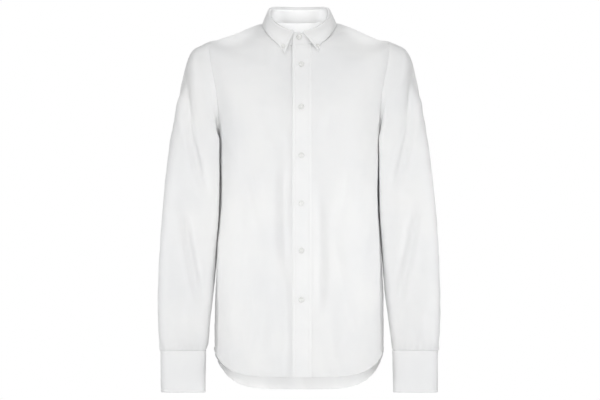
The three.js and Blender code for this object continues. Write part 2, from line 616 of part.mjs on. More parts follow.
function cuffNormal(turn, row) {
  const around = cuffPoint(turn + 2, row).sub(cuffPoint(turn - 2, row));
  return new THREE.Vector3(0, 0, -1).cross(around).normalize();
}

function addCuff(name, side) {
  const grid = steps(CUFF_ROWS, (f) =>
    steps(CUFF_COLUMNS, (g) => {
      const turn = g * (360 + CUFF_OVERLAP);
      return { point: cuffPoint(turn, f), out: cuffNormal(turn, f) };
    }),
  );
  addPiece(`cuff_${name}`, clothWall(sided(grid, side), CUFF_CLOTH));
}

// ---- Collar ----
const standStart = -turnAt(NECK, -BAND_LEFT);
const standEnd = 360 + turnAt(NECK, UNDERLAP);

// How far the stand lies out at each turn: its left end is on the button band, its right end beneath that.
function standClimb(turn) {
  const leftEnd = 2 * LAYER * (1 - smooth((turn - 20) / 45));
  const rightEnd = LAYER * smooth((turn - 295) / 45);
  return leftEnd + rightEnd;
}

function outwards(turn) {
  const around = ringPoint(STAND_TOP, turn + 1).sub(ringPoint(STAND_TOP, turn - 1));
  return around.cross(new THREE.Vector3(0, 0, 1)).normalize();
}

function standPoint(turn, share, out = 0) {
  const climb = standClimb(turn);
  const low = bodyPlain(turn, NECK).addScaledVector(bodyNormal(turn, NECK), climb);
  const high = ringPoint(STAND_TOP, turn, climb);
  low.addScaledVector(high.clone().sub(low).normalize(), 2 * SEAM_GAP);
  return low.lerp(high, share).addScaledVector(outwards(turn), out);
}

function addStand() {
  const grid = steps(STAND_ROWS, (share) =>
    steps(STAND_COLUMNS, (g) => {
      const turn = mix(standStart, standEnd, g);
      return { point: standPoint(turn, share), out: outwards(turn) };
    }),
  );
  addPiece("collar_stand", clothWall(grid));
}

// A point just above the shirt's front, shoulder or back, where the leaf's edge lies.
function aboveBody([turn, ring]) {
  const lifted = bodyPlain(turn, ring).addScaledVector(bodyNormal(turn, ring), LEAF_CLEAR);
  return Math.abs(turn) < 60 ? lifted.addScaledVector(bodyNormal(turn, ring), LAYER * (turn > 0 ? 1 : 0)) : lifted;
}

// The leaf's outer edge as stations of { turn, place }, from the left point round the back to the right one.
function leafEdge() {
  const half = (side, point) => [
    { share: 0, place: aboveBody(frontPlace(point.x * side, point.z)) },
    ...LEAF_EDGE.map(({ x, z }, i) => ({ share: 0.11 + 0.1 * i, place: aboveBody(frontPlace(x * side, z)) })),
    { share: 0.55, place: aboveBody([90 * side, LEAF_SHOULDER_RING]) },
    { share: 0.7, place: aboveBody([128 * side, LEAF_SHOULDER_RING - 0.35]) },
    { share: 0.85, place: aboveBody([155 * side, LEAF_BACK_RING + 0.15]) },
  ];
  const middleBack = { share: 1, place: aboveBody([180, LEAF_BACK_RING]) };
  const left = half(1, LEFT_POINT);
  const right = half(-1, RIGHT_POINT).map(({ share, place }) => ({ share: 2 - share, place }));
  return [...left, middleBack, ...right.reverse()];
}

const EDGE = leafEdge();
const edgeRows = EDGE.map(({ share, place }) => ({ share, x: place.x, y: place.y, z: place.z }));

function edgePoint(share) {
  const i = clamp(edgeRows.findIndex((row) => row.share > share) - 1, 0, edgeRows.length - 2);
  const last = share >= edgeRows.at(-1).share;
  const at = last ? edgeRows.length - 1 : i + (share - edgeRows[i].share) / (edgeRows[i + 1].share - edgeRows[i].share);
  return new THREE.Vector3(between(edgeRows, "x", at), between(edgeRows, "y", at), between(edgeRows, "z", at));
}

// The leaf's outer face from the stand's top over the fold: outwards and upwards of the stand's top edge.
const FOLD_PROFILE = [
  { out: -CLOTH, up: SEAM_GAP },
  { out: -1, up: 2.2 },
  { out: 0.9, up: 3.6 },
  { out: 3, up: 3 },
  { out: 4.2, up: 0.6 },
];
const LEAF_DROPS = 4;

function leafColumn(share) {
  const start = turnAt(NECK, LEFT_POINT.top);
  const end = 360 - turnAt(NECK, RIGHT_POINT.top);
  const turn = mix(start, end, share / 2);
  const out = outwards(turn);
  const top = standPoint(turn, 1);
  const up = new THREE.Vector3(0, 0, 1);
  const fold = FOLD_PROFILE.map((step) => top.clone().addScaledVector(out, step.out).addScaledVector(up, step.up));
  const from = fold.at(-1);
  const edge = edgePoint(share);
  const drops = steps(LEAF_DROPS, (f) => {
    const bulge = LEAF_ROLL * Math.sin(Math.PI * f ** 0.8);
    return from.clone().lerp(edge, f).addScaledVector(out, bulge);
  });
  return [...fold, ...drops.slice(1)];
}

function addLeaf() {
  const columns = steps(LEAF_COLUMNS, (g) => leafColumn(2 * g));
  const rows = columns[0].length;
  const grid = Array.from({ length: rows }, (_, r) =>
    columns.map((column, c) => {
      const down = column[Math.min(r + 1, rows - 1)].clone().sub(column[Math.max(r - 1, 0)]);
      const before = columns[Math.max(c - 1, 0)][r];
      const after = columns[Math.min(c + 1, columns.length - 1)][r];
      return { point: column[r], out: down.cross(after.clone().sub(before)).normalize() };
    }),
  );
  addPiece("collar_leaf", clothWall(grid));
}

// ---- Buttons ----
// A round button with a rolled rim and a shallow dish, its back at the given point.
function addButton(name, { radius, thick }, place, out) {
  const profile = [
    [0, 0],
    [0.82 * radius, 0],
    [radius, 0.35 * thick],
    [0.93 * radius, 0.85 * thick],
    [0.76 * radius, thick],
    [0.6 * radius, 0.72 * thick],
    [0, 0.72 * thick],
  ].map(([r, h]) => new THREE.Vector2(r, h));
  const mesh = addPiece(name, new THREE.LatheGeometry(profile, BUTTON_SIDES), plastic);
  mesh.quaternion.setFromUnitVectors(new THREE.Vector3(0, 1, 0), out);
  mesh.position.copy(place);
}

function addButtons() {
  const neckOut = outwards(0).add(new THREE.Vector3(0, 0, 0.35)).normalize();
  const neckTurn = turnAt(NECK, STAND_BUTTON_X);
  addButton("button_1", BUTTON, standPoint(neckTurn, 0.45, SEAM_GAP), neckOut);
  for (let i = 0; i < BAND_BUTTONS; i++) {
    const z = i === 0 ? FIRST_BUTTON_Z : SECOND_BUTTON_Z - (i - 1) * BUTTON_PITCH;
    const [turn, ring] = frontPlace(BAND_MIDDLE, z);
    addButton(`button_${i + 2}`, BUTTON, bodyPoint(turn, ring, 2 * LAYER + SEAM_GAP), bodyNormal(turn, ring));
  }
  const onLeaf = (side, point) => {
    const column = leafColumn(side > 0 ? 0.045 : 1.955);
    const rows = column.length;
    const place = column[rows - 2].clone().lerp(column[rows - 1], 0.45);
    const [turn, ring] = frontPlace(point.x * side, point.z + 8);
    const out = bodyNormal(turn, ring);
    addButton(`collar_button_${side > 0 ? "left" : "right"}`, SMALL_BUTTON, place.addScaledVector(out, 2), out);
  };
  onLeaf(1, LEFT_POINT);
  onLeaf(-1, RIGHT_POINT);
  eachSide((name, side) => {
    const turn = CUFF_OVERLAP / 2;
    const place = cuffPoint(turn, 0.5, SEAM_GAP);
    const out = cuffNormal(turn, 0.5);
    addButton(`cuff_button_${name}`, BUTTON, side > 0 ? place : mirrorX(place), side > 0 ? out : mirrorX(out));
  });
}

addFronts();
addBand();
addBack();
addYoke();
eachSide(addSleeve);
eachSide(addSleevePlacket);
eachSide(addCuff);
addStand();
addLeaf();
addButtons();

export default group;
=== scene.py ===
# %% [markdown]
# # A long-sleeved casual shirt
# This lesson dresses the shirt. Its solids come from the CAD model, which is loaded as a fixed frame, and
# each piece of cloth is then made again here with the fold, stitch and weave that cotton has. Everything is
# in metres: +Z is up, +X is the wearer's left, and the wearer faces -Y. The origin is the middle of the neck.

import math

import bmesh
import bpy
import numpy as np
from mathutils import Matrix, Vector


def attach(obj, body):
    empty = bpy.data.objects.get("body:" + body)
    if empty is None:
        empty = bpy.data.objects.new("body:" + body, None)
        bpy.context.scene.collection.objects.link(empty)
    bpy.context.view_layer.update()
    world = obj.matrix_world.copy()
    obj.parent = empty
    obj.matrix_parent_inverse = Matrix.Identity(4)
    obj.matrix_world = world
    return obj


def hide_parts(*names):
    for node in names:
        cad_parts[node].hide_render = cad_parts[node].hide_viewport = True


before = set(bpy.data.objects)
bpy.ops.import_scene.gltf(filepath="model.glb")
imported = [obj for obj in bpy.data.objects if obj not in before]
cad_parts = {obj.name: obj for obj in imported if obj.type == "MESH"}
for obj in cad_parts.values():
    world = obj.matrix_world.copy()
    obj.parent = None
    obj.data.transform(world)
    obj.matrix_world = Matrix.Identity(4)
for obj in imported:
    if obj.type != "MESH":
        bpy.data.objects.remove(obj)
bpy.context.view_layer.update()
MM = 0.001
print("nodes to dress:", len(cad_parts))

# %% [markdown]
# ## Studio
# A shop shows a white shirt from well back through a long lens, level with its middle, so that nothing
# looks nearer than the rest. A large soft light stands in front, weaker ones below, above, behind and at
# both sides, and the room fills the shadows. What shows folds in white cloth is light that comes more from
# some sides than from others: with the same light from everywhere, they would vanish.

# %% Camera
def add_object(name, data):
    """A new object in the scene."""
    made = bpy.data.objects.new(name, data)
    bpy.context.scene.collection.objects.link(made)
    return made


camera_data = bpy.data.cameras.new("studio_camera")
camera_data.sensor_width = 36
camera_data.lens = 420
camera_data.clip_end = 300
camera = add_object("studio_camera", camera_data)
camera.location = (0.0014, -14.0, -0.344)
camera.rotation_euler = (math.pi / 2, 0, 0)
bpy.context.scene.camera = camera
bpy.context.scene.view_settings.view_transform = "Standard"
bpy.context.scene.view_settings.look = "None"


# %% Lights
def aimed_light(name, kind, place, aim, watts):
    """A light of this kind that faces the point aimed at. Its data is returned, to be shaped further."""
    data = bpy.data.lights.new(name, kind)
    data.energy = watts
    light = add_object(name, data)
    light.location = place
    light.rotation_euler = (Vector(aim) - Vector(place)).to_track_quat("-Z", "Y").to_euler()
    return data


def soft_light(name, place, aim, width, height, watts, spread=180):
    """A wide soft light. A small spread, in degrees, keeps it in a beam."""
    data = aimed_light(name, "AREA", place, aim, watts)
    data.shape = "RECTANGLE"
    data.size, data.size_y = width, height
    data.spread = math.radians(spread)


soft_light("front_light", (0, -4.6, -0.4), (0, 0, -0.42), 3.0, 1.9, 70)
soft_light("low_light", (0, -4.4, -1.2), (0, 0, -0.6), 3.0, 0.5, 12)
soft_light("top_light", (0, -1.6, 3.4), (0, 0, -0.3), 3.0, 2.0, 31)
for side, watts in ((1, 0.86), (-1, 0.76)):
    soft_light("sleeve_light", (4.4 * side, -0.7, -0.42), (0, 0, -0.42), 1.4, 0.5, watts, spread=14)
soft_light("back_light", (0, 4.2, 1.2), (0, 0, -0.4), 3.0, 2.0, 45)


def small_lamp(name, place, aim, reach, watts):
    """A narrow soft beam that lights a circle of this radius, in metres, at the point aimed at."""
    data = aimed_light(name, "SPOT", place, aim, watts)
    data.spot_size = 2 * math.atan(reach / (Vector(aim) - Vector(place)).length)
    data.spot_blend = 1.0
    data.shadow_soft_size = 0.008


# The insides of the neck and of the tail would be gloomy, so small lamps reach in: one from below, inside
# the shirt, three from the front over the collar and four under the front hem. Two more light the tops of
# the shoulders beside the collar, which look up and away from the big light.
small_lamp("yoke_lamp", (0, 0.02, -1.45), (0, 0.045, 0), 0.07, 96)
small_lamp("neck_lamp", (0, -3.0, 0.42), (0, 0.05, 0.02), 0.045, 40)
for side in (-1, 1):
    small_lamp("stand_lamp", (1.5 * side, -2.6, 0.42), (-0.05 * side, 0.022, 0.02), 0.032, 150)
    small_lamp("shoulder_lamp", (0.9 * side, -1.3, 2.6), (0.13 * side, 0, -0.02), 0.06, 95)
for x in (-0.12, -0.04, 0.04, 0.12):
    small_lamp("hem_lamp", (x, -2.6, -1.35), (x, 0.12, -0.715), 0.062, 84)

# %% Room and floor
def set_inputs(node, **values):
    """Plain values for inputs of a node. In their names _ stands for a space."""
    for name, value in values.items():
        node.inputs[name.replace("_", " ")].default_value = value


room = bpy.data.worlds.new("white_room")
room.use_nodes = True
room_nodes = room.node_tree.nodes
room_links = room.node_tree.links
room_nodes.clear()
ray = room_nodes.new("ShaderNodeLightPath")
blend = room_nodes.new("ShaderNodeMixShader")
room_out = room_nodes.new("ShaderNodeOutputWorld")
room_links.new(ray.outputs["Is Camera Ray"], blend.inputs["Fac"])
# The cloth is lit by a dimmer room than the camera sees.
for socket, strength in ((1, 0.41), (2, 1.0)):
    white = room_nodes.new("ShaderNodeBackground")
    set_inputs(white, Color=(1, 1, 1, 1), Strength=strength)
    room_links.new(white.outputs["Background"], blend.inputs[socket])
room_links.new(blend.outputs["Shader"], room_out.inputs["Surface"])
bpy.context.scene.world = room

FLOOR_HEIGHT, FLOOR_HALF_SIZE = -1.5, 22
floor_mesh = bmesh.new()
bmesh.ops.create_grid(floor_mesh, x_segments=1, y_segments=1, size=FLOOR_HALF_SIZE)
bmesh.ops.translate(floor_mesh, verts=floor_mesh.verts, vec=(0, 0, FLOOR_HEIGHT))
floor_data = bpy.data.meshes.new("studio_floor")
floor_mesh.to_mesh(floor_data)
floor_mesh.free()
studio_floor = add_object("studio_floor", floor_data)
floor_paint = bpy.data.materials.new("floor_paint")
floor_paint.use_nodes = True
set_inputs(floor_paint.node_tree.nodes["Principled BSDF"], Base_Color=(0.9, 0.9, 0.9, 1), Roughness=0.9)
floor_data.materials.append(floor_paint)
print("studio ready")

# %% [markdown]
# ## Patterns of the cut
# The pieces of a shirt share their seams, so they are all cut from one set of surfaces: rings round the body
# and along the sleeves. A ring is a rounded square, and a smooth curve runs through the rings of a table.
# The tables hold millimetres, because a cutter works in them, and are turned into metres at the end.

# %% Curves through tables
def smooth(value):
    """0 below 0, 1 above 1, and a soft step between."""
    s = np.clip(value, 0, 1)
    return s * s * (3 - 2 * s)


def mix(a, b, share):
    return a + (b - a) * share


def between(rows, column, at):
    """A column's value at any place between the rows of a table."""
    v = np.array([row[column] for row in rows], float)
    v = np.concatenate([[2 * v[0] - v[1]], v, [2 * v[-1] - v[-2]]])
    at = np.asarray(at, float)
    i = np.clip(np.floor(at).astype(int), 0, len(rows) - 2)
    before, here, after, beyond = v[i], v[i + 1], v[i + 2], v[i + 3]
    f = at - i
    bend = 2 * before - 5 * here + 4 * after - beyond + f * (3 * (here - after) + beyond - before)
    return here + 0.5 * f * (after - before + f * bend)


def row_at(rows, at):
    return {column: between(rows, column, at) for column in rows[0]}


def unit(vectors):
    """Each vector made one long."""
    return vectors / np.maximum(np.linalg.norm(vectors, axis=-1, keepdims=True), 1e-9)


def bell(value, middle, width):
    """1 at the middle, falling softly to almost 0 two widths away on both sides."""
    return np.exp(-(((value - middle) / width) ** 2))


def raised(points, ways, height):
    """The points moved this far along the way each one looks."""
    return points + ways * height[..., None]


def rounded_square(turn, square):
    """The sine and cosine of a turn in degrees, and how far its rounded square stands out from a circle."""
    s, c = np.sin(np.radians(turn)), np.cos(np.radians(turn))
    return s, c, (np.abs(s) ** square + np.abs(c) ** square) ** (-1 / square)


def ring_point(ring, turn, out=0.0):
    """A point of a ring, turn degrees from the middle front towards the wearer's left."""
    s, c, q = rounded_square(turn, ring["square"])
    front = c > 0
    depth = np.where(front, ring["front"], ring["back"]) + out
    rise = np.where(front, ring["frontZ"] + ring["tilt"], ring["backZ"] - ring["tilt"]) - ring["sideZ"]
    height = ring["sideZ"] - ring["tilt"] * c + rise * c * c
    return np.stack([(ring["side"] + out) * q * s, -depth * q * c, height + 0 * s], axis=-1)


print("a soft step half way:", smooth(np.array(0.5)))


# %% Rings round the body
def table(columns, *rows):
    """The rows of a table, each with its numbers under the columns' names."""
    names = columns.split()
    return [dict(zip(names, row)) for row in rows]


BODY = table(
    "side sideZ front frontZ back backZ tilt square",
    (170.5, -740, 121, -740, 125.5, -740, 0, 2.3),
    (169.5, -665, 119, -665, 122, -665, 0, 2.3),
    (168, -590, 116.5, -590, 117.5, -590, 0, 2.3),
    (166, -515, 114.5, -515, 111, -515, 0, 2.3),
    (162.5, -440, 113.5, -440, 105, -440, 0, 2.3),
    (157.5, -365, 115.5, -365, 100.5, -365, 0, 2.3),
    (157.5, -290, 121, -290, 106, -290, 0, 2.35),
    (161, -215, 126.5, -222, 115.5, -212, 0, 2.4),
    (171, -160, 124, -178, 121, -160, 0, 2.4),
    (182, -112, 114.5, -143, 117.5, -112, 0, 2.35),
    (189, -72, 103, -116, 109, -74, 0, 2.3),
    (185.5, -34, 92.5, -93, 94.5, -42, 0, 2.25),
    (160, -22.5, 83.5, -73, 80, -19, 4, 2.2),
    (125, -10, 76.5, -57, 69, -4, 9, 2.2),
    (93, 1, 71.5, -45, 61.5, 5, 15, 2.2),
    (66, 5.5, 66, -37, 56, 11, 20, 2.2),
)
NECK, UNDERARM = 15, 7
LOWEST_RING, RING_PITCH = -740, 75
FRONT_HEM, SIDE_HEM, BACK_HEM = -696, -644, -726
print("body rings:", len(BODY))


# %% The body's surface
def body_plain(turn, at):
    return ring_point(row_at(BODY, at), turn)


def body_normal(turn, at):
    around = body_plain(turn + 0.5, at) - body_plain(turn - 0.5, at)
    up = body_plain(turn, at + 0.03) - body_plain(turn, at - 0.03)
    return unit(np.cross(around, up))


def turn_at(at, x):
    """The turn at which a ring reaches this x, near the middle front."""
    row = row_at(BODY, at)
    turn = np.zeros(np.broadcast(np.asarray(at), np.asarray(x)).shape)
    for _ in range(6):
        q = rounded_square(turn, row["square"])[2]
        turn = np.degrees(np.arcsin(np.clip(x / (row["side"] * q), -1, 1)))
    return turn


def turn_on_neck(x):
    """The turn at which the neck seam reaches this x, near the middle front."""
    return float(turn_at(np.array(float(NECK)), np.array(float(x))))


def front_place(x, z):
    """The place on the body's front with this x and z, as (turn, ring)."""
    low, high = np.zeros(np.shape(x)), np.full(np.shape(x), float(NECK))
    for _ in range(36):
        middle = (low + high) / 2
        below = body_plain(turn_at(middle, x), middle)[..., 2] < z
        low, high = np.where(below, middle, low), np.where(below, high, middle)
    return turn_at(low, x), low


def ring_at(z):
    """The ring at this height, below the underarm, where they are evenly spaced."""
    return (z - LOWEST_RING) / RING_PITCH


def hem_ring(turn):
    """The ring at the height of the shirt-tail hem."""
    s, c = np.sin(np.radians(turn)), np.cos(np.radians(turn))
    return ring_at(mix(np.where(c > 0, FRONT_HEM, BACK_HEM), SIDE_HEM, np.abs(s) ** 5))


def armhole(at):
    """The armhole as (turn, ring): 0 degrees at the underarm, 90 in front, 180 on the shoulder."""
    reach = np.sin(np.radians(at))
    turn = 90 - np.where(reach > 0, 28, 25) * reach
    return turn, mix(UNDERARM, 11.5, (1 - np.cos(np.radians(at))) / 2)


print("armhole top, mm:", body_plain(*armhole(180)).round(1))

# %% [markdown]
# ## Folds, and cloth that is never quite flat
# Each large fold of the shirt is a trough along a bowed line, with the cloth pushed up beside it, because
# the cloth that leaves the trough has to go somewhere. Below that size, woven cotton is never quite flat.
# A sum of slow waves, longer upwards than across, gives the unevenness of cloth that hangs. The waves read
# the place in space, so two pieces that meet at a seam stay together.

# %% Tables of folds
FOLD_COLUMNS = "face fromX fromZ toX toZ bow width depth crest"
BODY_FOLDS = table(
    FOLD_COLUMNS,
    (1, -26, -250, -24, -515, 9, 9, -4.2, 0.4),
    (1, -98, -270, -56, -430, 2, 12, -3.0, 0.3),
    (1, -68, -160, -40, -245, -3, 12, -2.0, 0.3),
    (1, -46, -550, -60, -660, 2, 9, -2.0, 0.3),
    (1, -84, -590, -92, -680, 2, 9, -1.8, 0.3),
    (1, -108, -540, -114, -650, 2, 10, -2.0, 0.3),
    (1, -112, -300, -112, -520, 3, 10, -1.6, -0.3),
    (1, 38, -285, 40, -595, -3, 9, -3.6, -0.35),
    (1, 104, -265, 66, -430, -2, 11, -3.0, 0.3),
    (1, 70, -395, 118, -640, 5, 11, -3.4, -0.4),
    (1, 72, -160, 46, -245, 3, 12, -2.0, 0.3),
    (1, 66, -590, 72, -680, -2, 9, -1.9, 0.3),
    (1, -139, -130, -130, -350, -3, 15, 1.7, 0),
    (1, -124, -340, -150, -650, -3, 14, 1.7, 0),
    (1, 138, -120, 131, -350, 3, 15, 1.7, 0),
    (1, 121, -340, 150, -650, 3, 14, 1.7, 0),
    (-1, -62, -110, -54, -420, 6, 14, -5, 0.3),
    (-1, 66, -120, 50, -440, -6, 14, -5, 0.3),
    (-1, 4, -260, -8, -520, 5, 13, -4, 0.3),
    (-1, -100, -300, -78, -560, 6, 13, -4, 0.3),
    (-1, 104, -310, 84, -590, -5, 13, -4, 0.3),
    (-1, -30, -330, 30, -352, 5, 9, -1.8, 0.6),
    (-1, 40, -372, -44, -398, -4, 9, -1.6, 0.6),
    (1, -33, -290, -32, -400, 3, 5, -1.4, -0.5),
    (1, -52, -205, -20, -300, -6, 12, -1.0, 0.4),
    (1, -90, -672, -50, -690, 3, 9, 1.3, 0),
    (1, 60, -684, 100, -668, 3, 9, 1.3, 0),
    (1, -160, -214, -118, -286, 5, 8, -1.3, 0.6),
    (1, 160, -210, 122, -290, -5, 8, -1.3, 0.6),
    (-1, -150, -190, -104, -300, 8, 10, -2.2, 0.5),
    (-1, 150, -190, 100, -310, -8, 10, -2.2, 0.5),
    (-1, -110, -640, -60, -560, 4, 12, -1.8, 0.4),
)
SLEEVE_FOLDS = table(
    FOLD_COLUMNS,
    (1, 235, -36, 176, -350, -13, 14, -4.4, 0.45),
    (1, 234, -330, 188, -580, -3, 12, -2.6, 0.3),
    (1, 176, -80, 170, -205, -3, 9, -3, 0),
    (-1, 214, -96, 166, -330, -10, 13, -5, 0.3),
    (-1, 262, -352, 182, -420, -8, 13, -4.5, 0.3),
    (-1, 262, -420, 186, -500, 6, 14, -3.5, 0.3),
    (1, 233, -44, 178, -345, -13, 8, -6.2, -0.5),
    (1, 232, -345, 190, -570, -3, 8, -3.6, -0.5),
    (1, 262, -400, 244, -520, 4, 13, -1.2, 0.4),
    (1, 212, -540, 198, -630, -3, 9, -1.6, 0.5),
    (1, 258, -560, 262, -632, -3, 9, -1.6, 0.5),
    (-1, 240, -210, 190, -280, 5, 10, -2.2, 0.5),
    (-1, 266, -480, 214, -560, 4, 10, -2.0, 0.5),
)
print("folds in the body and sleeves:", len(BODY_FOLDS + SLEEVE_FOLDS))


# %% Fold and drape functions
def fold_depth(folds, x, z, facing):
    """The depth of all the folds that pass near a point, seen from the front."""
    total = np.zeros(np.shape(x))
    for f in folds:
        run_x, run_z = f["toX"] - f["fromX"], f["toZ"] - f["fromZ"]
        run = math.hypot(run_x, run_z)
        along = ((x - f["fromX"]) * run_x + (z - f["fromZ"]) * run_z) / run**2
        across = ((x - f["fromX"]) * run_z - (z - f["fromZ"]) * run_x) / run
        q = np.clip(along, 0, 1)
        off = across - f["bow"] * 4 * q * (1 - q)
        ends = smooth(along / 0.3) * smooth((1 - along) / 0.3) * smooth(facing * f["face"] * 3)
        side = math.copysign(1.9 * f["width"], f["crest"])
        beside = abs(f["crest"]) * bell(off, side, f["width"])
        total += f["depth"] * ends * (bell(off, 0, f["width"]) - beside)
    return total


waves = np.random.default_rng(11)


def random_waves(count, stretch, shortest, longest):
    """Waves that run in random directions, drawn out by the stretch, with lengths in mm."""
    ways = unit(waves.normal(size=(count, 3)) * stretch)
    return ways * 2 * np.pi / waves.uniform(shortest, longest, (count, 1))


def random_starts(count):
    return waves.uniform(0, 2 * np.pi, count)


def sum_of_waves(points, directions, starts):
    return np.sin(points @ directions.T + starts).sum(-1)


SLOW, QUICK = random_waves(18, (1, 1, 0.45), 70, 170), random_waves(30, (1, 1, 0.6), 20, 50)
SLOW_STARTS, QUICK_STARTS = random_starts(18), random_starts(30)
STREAKS, STREAK_STARTS = random_waves(16, (1, 0.4, 0.13), 34, 80), random_starts(16)


def drape(points):
    """How far hanging cloth stands off its pattern, in mm."""
    return 0.28 * sum_of_waves(points, SLOW, SLOW_STARTS) + 0.055 * sum_of_waves(points, QUICK, QUICK_STARTS)


def hang(points):
    """Long soft streaks below the chest, where the cloth hangs free of the body."""
    return 0.26 * sum_of_waves(points, STREAKS, STREAK_STARTS) * smooth((-150 - points[..., 2]) / 160)


print("unevenness at the chest, mm:", drape(np.array([[60.0, -110.0, -200.0]])).round(2))

# %% [markdown]
# ## From pattern to mesh
# Every piece of cloth starts as a flat grid, as it leaves the cutting table, and its points are then moved
# to their places on the shirt. A Solidify modifier gives it the thickness of cotton afterwards. The grid
# also gives each piece a UV map in metres of cloth, which the weave follows, so it runs with the piece.

# %% Measuring along a grid
def arc(points, axis):
    """The distance along each row or column from its start."""
    step = np.linalg.norm(np.diff(points, axis=axis), axis=-1)
    start = np.zeros_like(np.take(step, [0], axis=axis))
    return np.concatenate([start, np.cumsum(step, axis=axis)], axis=axis)


def edge_distances(points):
    """How far each point is from the left, right, bottom and top edges of its piece."""
    across, up = arc(points, 1), arc(points, 0)
    return {"left": across, "right": across[:, -1:] - across, "bottom": up, "top": up[-1:] - up}


def nearest_edge(points):
    """How far each point is from the nearest edge of its piece."""
    return np.minimum.reduce(list(edge_distances(points).values()))


def grid_normals(points):
    """The way each point of a grid looks."""
    return unit(np.cross(np.gradient(points, axis=1), np.gradient(points, axis=0)))


def ripples(along, seed, count, shortest, longest, pitch=1):
    """A sum of waves along an edge, with random lengths and starts."""
    wave = np.random.default_rng(seed)
    total = 0
    for _ in range(count):
        length = pitch * wave.uniform(shortest, longest)
        total = total + np.sin(2 * np.pi * along / length + wave.uniform(0, 6.28))
    return total


def pucker(along, away, pitch, height, seed, reach=3.0):
    """Small waves along a stitched edge, where the thread has drawn the cloth up."""
    wave = ripples(along, seed, 5, 0.75, 1.5, pitch)
    return height * 0.5 * wave * (away / reach) * np.exp(1 - away / reach)


# %% Sewing a piece
# How thick the cloth of each kind of piece is, in mm, and how far its rows of stitches are from an edge.
THICK = {"single": 0.7, "placket": 1.1, "band": 1.3, "leaf": 1.3, "stand": 1.4, "cuff": 1.6}
SEAM_STITCH, EDGE_STITCH, HEM_STITCH, PLACKET_STITCH = 2.4, 6, 6.4, 2


def cloth_piece(name, points, normals, thick, material, closed=False, sewn=()):
    """A grid mesh from points in mm, as a numpy array of rows and columns. Its free edges are rounded, and
    its sewn ones stay crisp, so that the cloth looks whole across a seam."""
    rows, columns = points.shape[:2]
    bm = bmesh.new()
    bmesh.ops.create_grid(bm, x_segments=columns - 1, y_segments=rows - 1, size=1)
    weave = bm.loops.layers.uv.new("cloth")
    across = arc(points, 1)
    across = (across - across[:, columns // 2 : columns // 2 + 1]) * MM
    up = arc(points, 0).mean(axis=1) * MM
    places = points * MM
    where = {}
    for vert in bm.verts:
        column = round((vert.co.x + 1) / 2 * (columns - 1))
        row = round((vert.co.y + 1) / 2 * (rows - 1))
        where[vert] = (row, column)
    for face in bm.faces:
        for loop in face.loops:
            row, column = where[loop.vert]
            loop[weave].uv = (across[row, column], up[row])
    for vert, (row, column) in where.items():
        vert.co = places[row, column]
    bm.normal_update()
    ends = {"left": (1, 0), "right": (1, columns - 1), "bottom": (0, 0), "top": (0, rows - 1)}
    for edge in bm.edges:
        for axis, stop in (ends[side] for side in sewn):
            if all(where[vert][axis] == stop for vert in edge.verts):
                edge.smooth = False
    middle = (rows // 2, columns // 2)
    probe = min(bm.verts, key=lambda v: abs(where[v][0] - middle[0]) + abs(where[v][1] - middle[1]))
    if probe.normal.dot(Vector(normals[middle])) < 0:
        bmesh.ops.reverse_faces(bm, faces=bm.faces)
    if closed:
        bmesh.ops.remove_doubles(bm, verts=bm.verts, dist=1e-7)
    mesh = bpy.data.meshes.new(name)
    bm.to_mesh(mesh)
    bm.free()
    mesh.polygons.foreach_set("use_smooth", [True] * len(mesh.polygons))
    mesh.materials.append(material)
    piece = add_object(name, mesh)
    wall = piece.modifiers.new("cotton thickness", "SOLIDIFY")
    wall.thickness = thick * MM
    wall.offset = -1
    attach(piece, "root")
    return piece


def declare(node):
    """The piece stands for its CAD node, which is hidden."""
    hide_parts(node)

# %% [markdown]
# ## Cotton, thread and buttons
# White cotton is matt and nearly as bright as paper, with a faint sheen where fibres stand up at its rim.
# Oxford cloth is woven with pairs of threads that cross a single one, so it has small raised cells. They are
# made as a height on the piece's own UV map, in metres, and drive the bump and a faint painted shade in the
# low cells.

# %% Node helpers
def new_material(name, roughness):
    """A material with its node tree and its surface."""
    material = bpy.data.materials.new(name)
    material.use_nodes = True
    surface = material.node_tree.nodes["Principled BSDF"]
    set_inputs(surface, Roughness=roughness)
    return material, material.node_tree, surface


def reckon(tree, kind, first, second):
    """A Math node; each input is a socket or a plain number."""
    node = tree.nodes.new("ShaderNodeMath")
    node.operation = kind
    for socket, value in zip(node.inputs, (first, second)):
        if isinstance(value, (int, float)):
            socket.default_value = value
        else:
            tree.links.new(value, socket)
    return node.outputs["Value"]


def paint(tree, surface, height, dark, bright):
    """Colours the surface from dark to bright, as a height chooses between them."""
    ramp = tree.nodes.new("ShaderNodeValToRGB")
    for element, position, colour in zip(ramp.color_ramp.elements, (0.3, 0.7), (dark, bright)):
        element.position = position
        element.color = (*colour, 1)
    tree.links.new(height, ramp.inputs["Fac"])
    tree.links.new(ramp.outputs["Color"], surface.inputs["Base Color"])


def noise(tree, scale, detail):
    place = tree.nodes.new("ShaderNodeTexCoord")
    texture = tree.nodes.new("ShaderNodeTexNoise")
    set_inputs(texture, Scale=scale, Detail=detail)
    tree.links.new(place.outputs["Object"], texture.inputs["Vector"])
    return texture.outputs["Fac"]


def bump(tree, surface, height, distance, strength, before=None):
    """Bumps on the surface, on top of those that came before."""
    node = tree.nodes.new("ShaderNodeBump")
    set_inputs(node, Distance=distance, Strength=strength)
    tree.links.new(height, node.inputs["Height"])
    if before is not None:
        tree.links.new(before, node.inputs["Normal"])
    tree.links.new(node.outputs["Normal"], surface.inputs["Normal"])
    return node.outputs["Normal"]


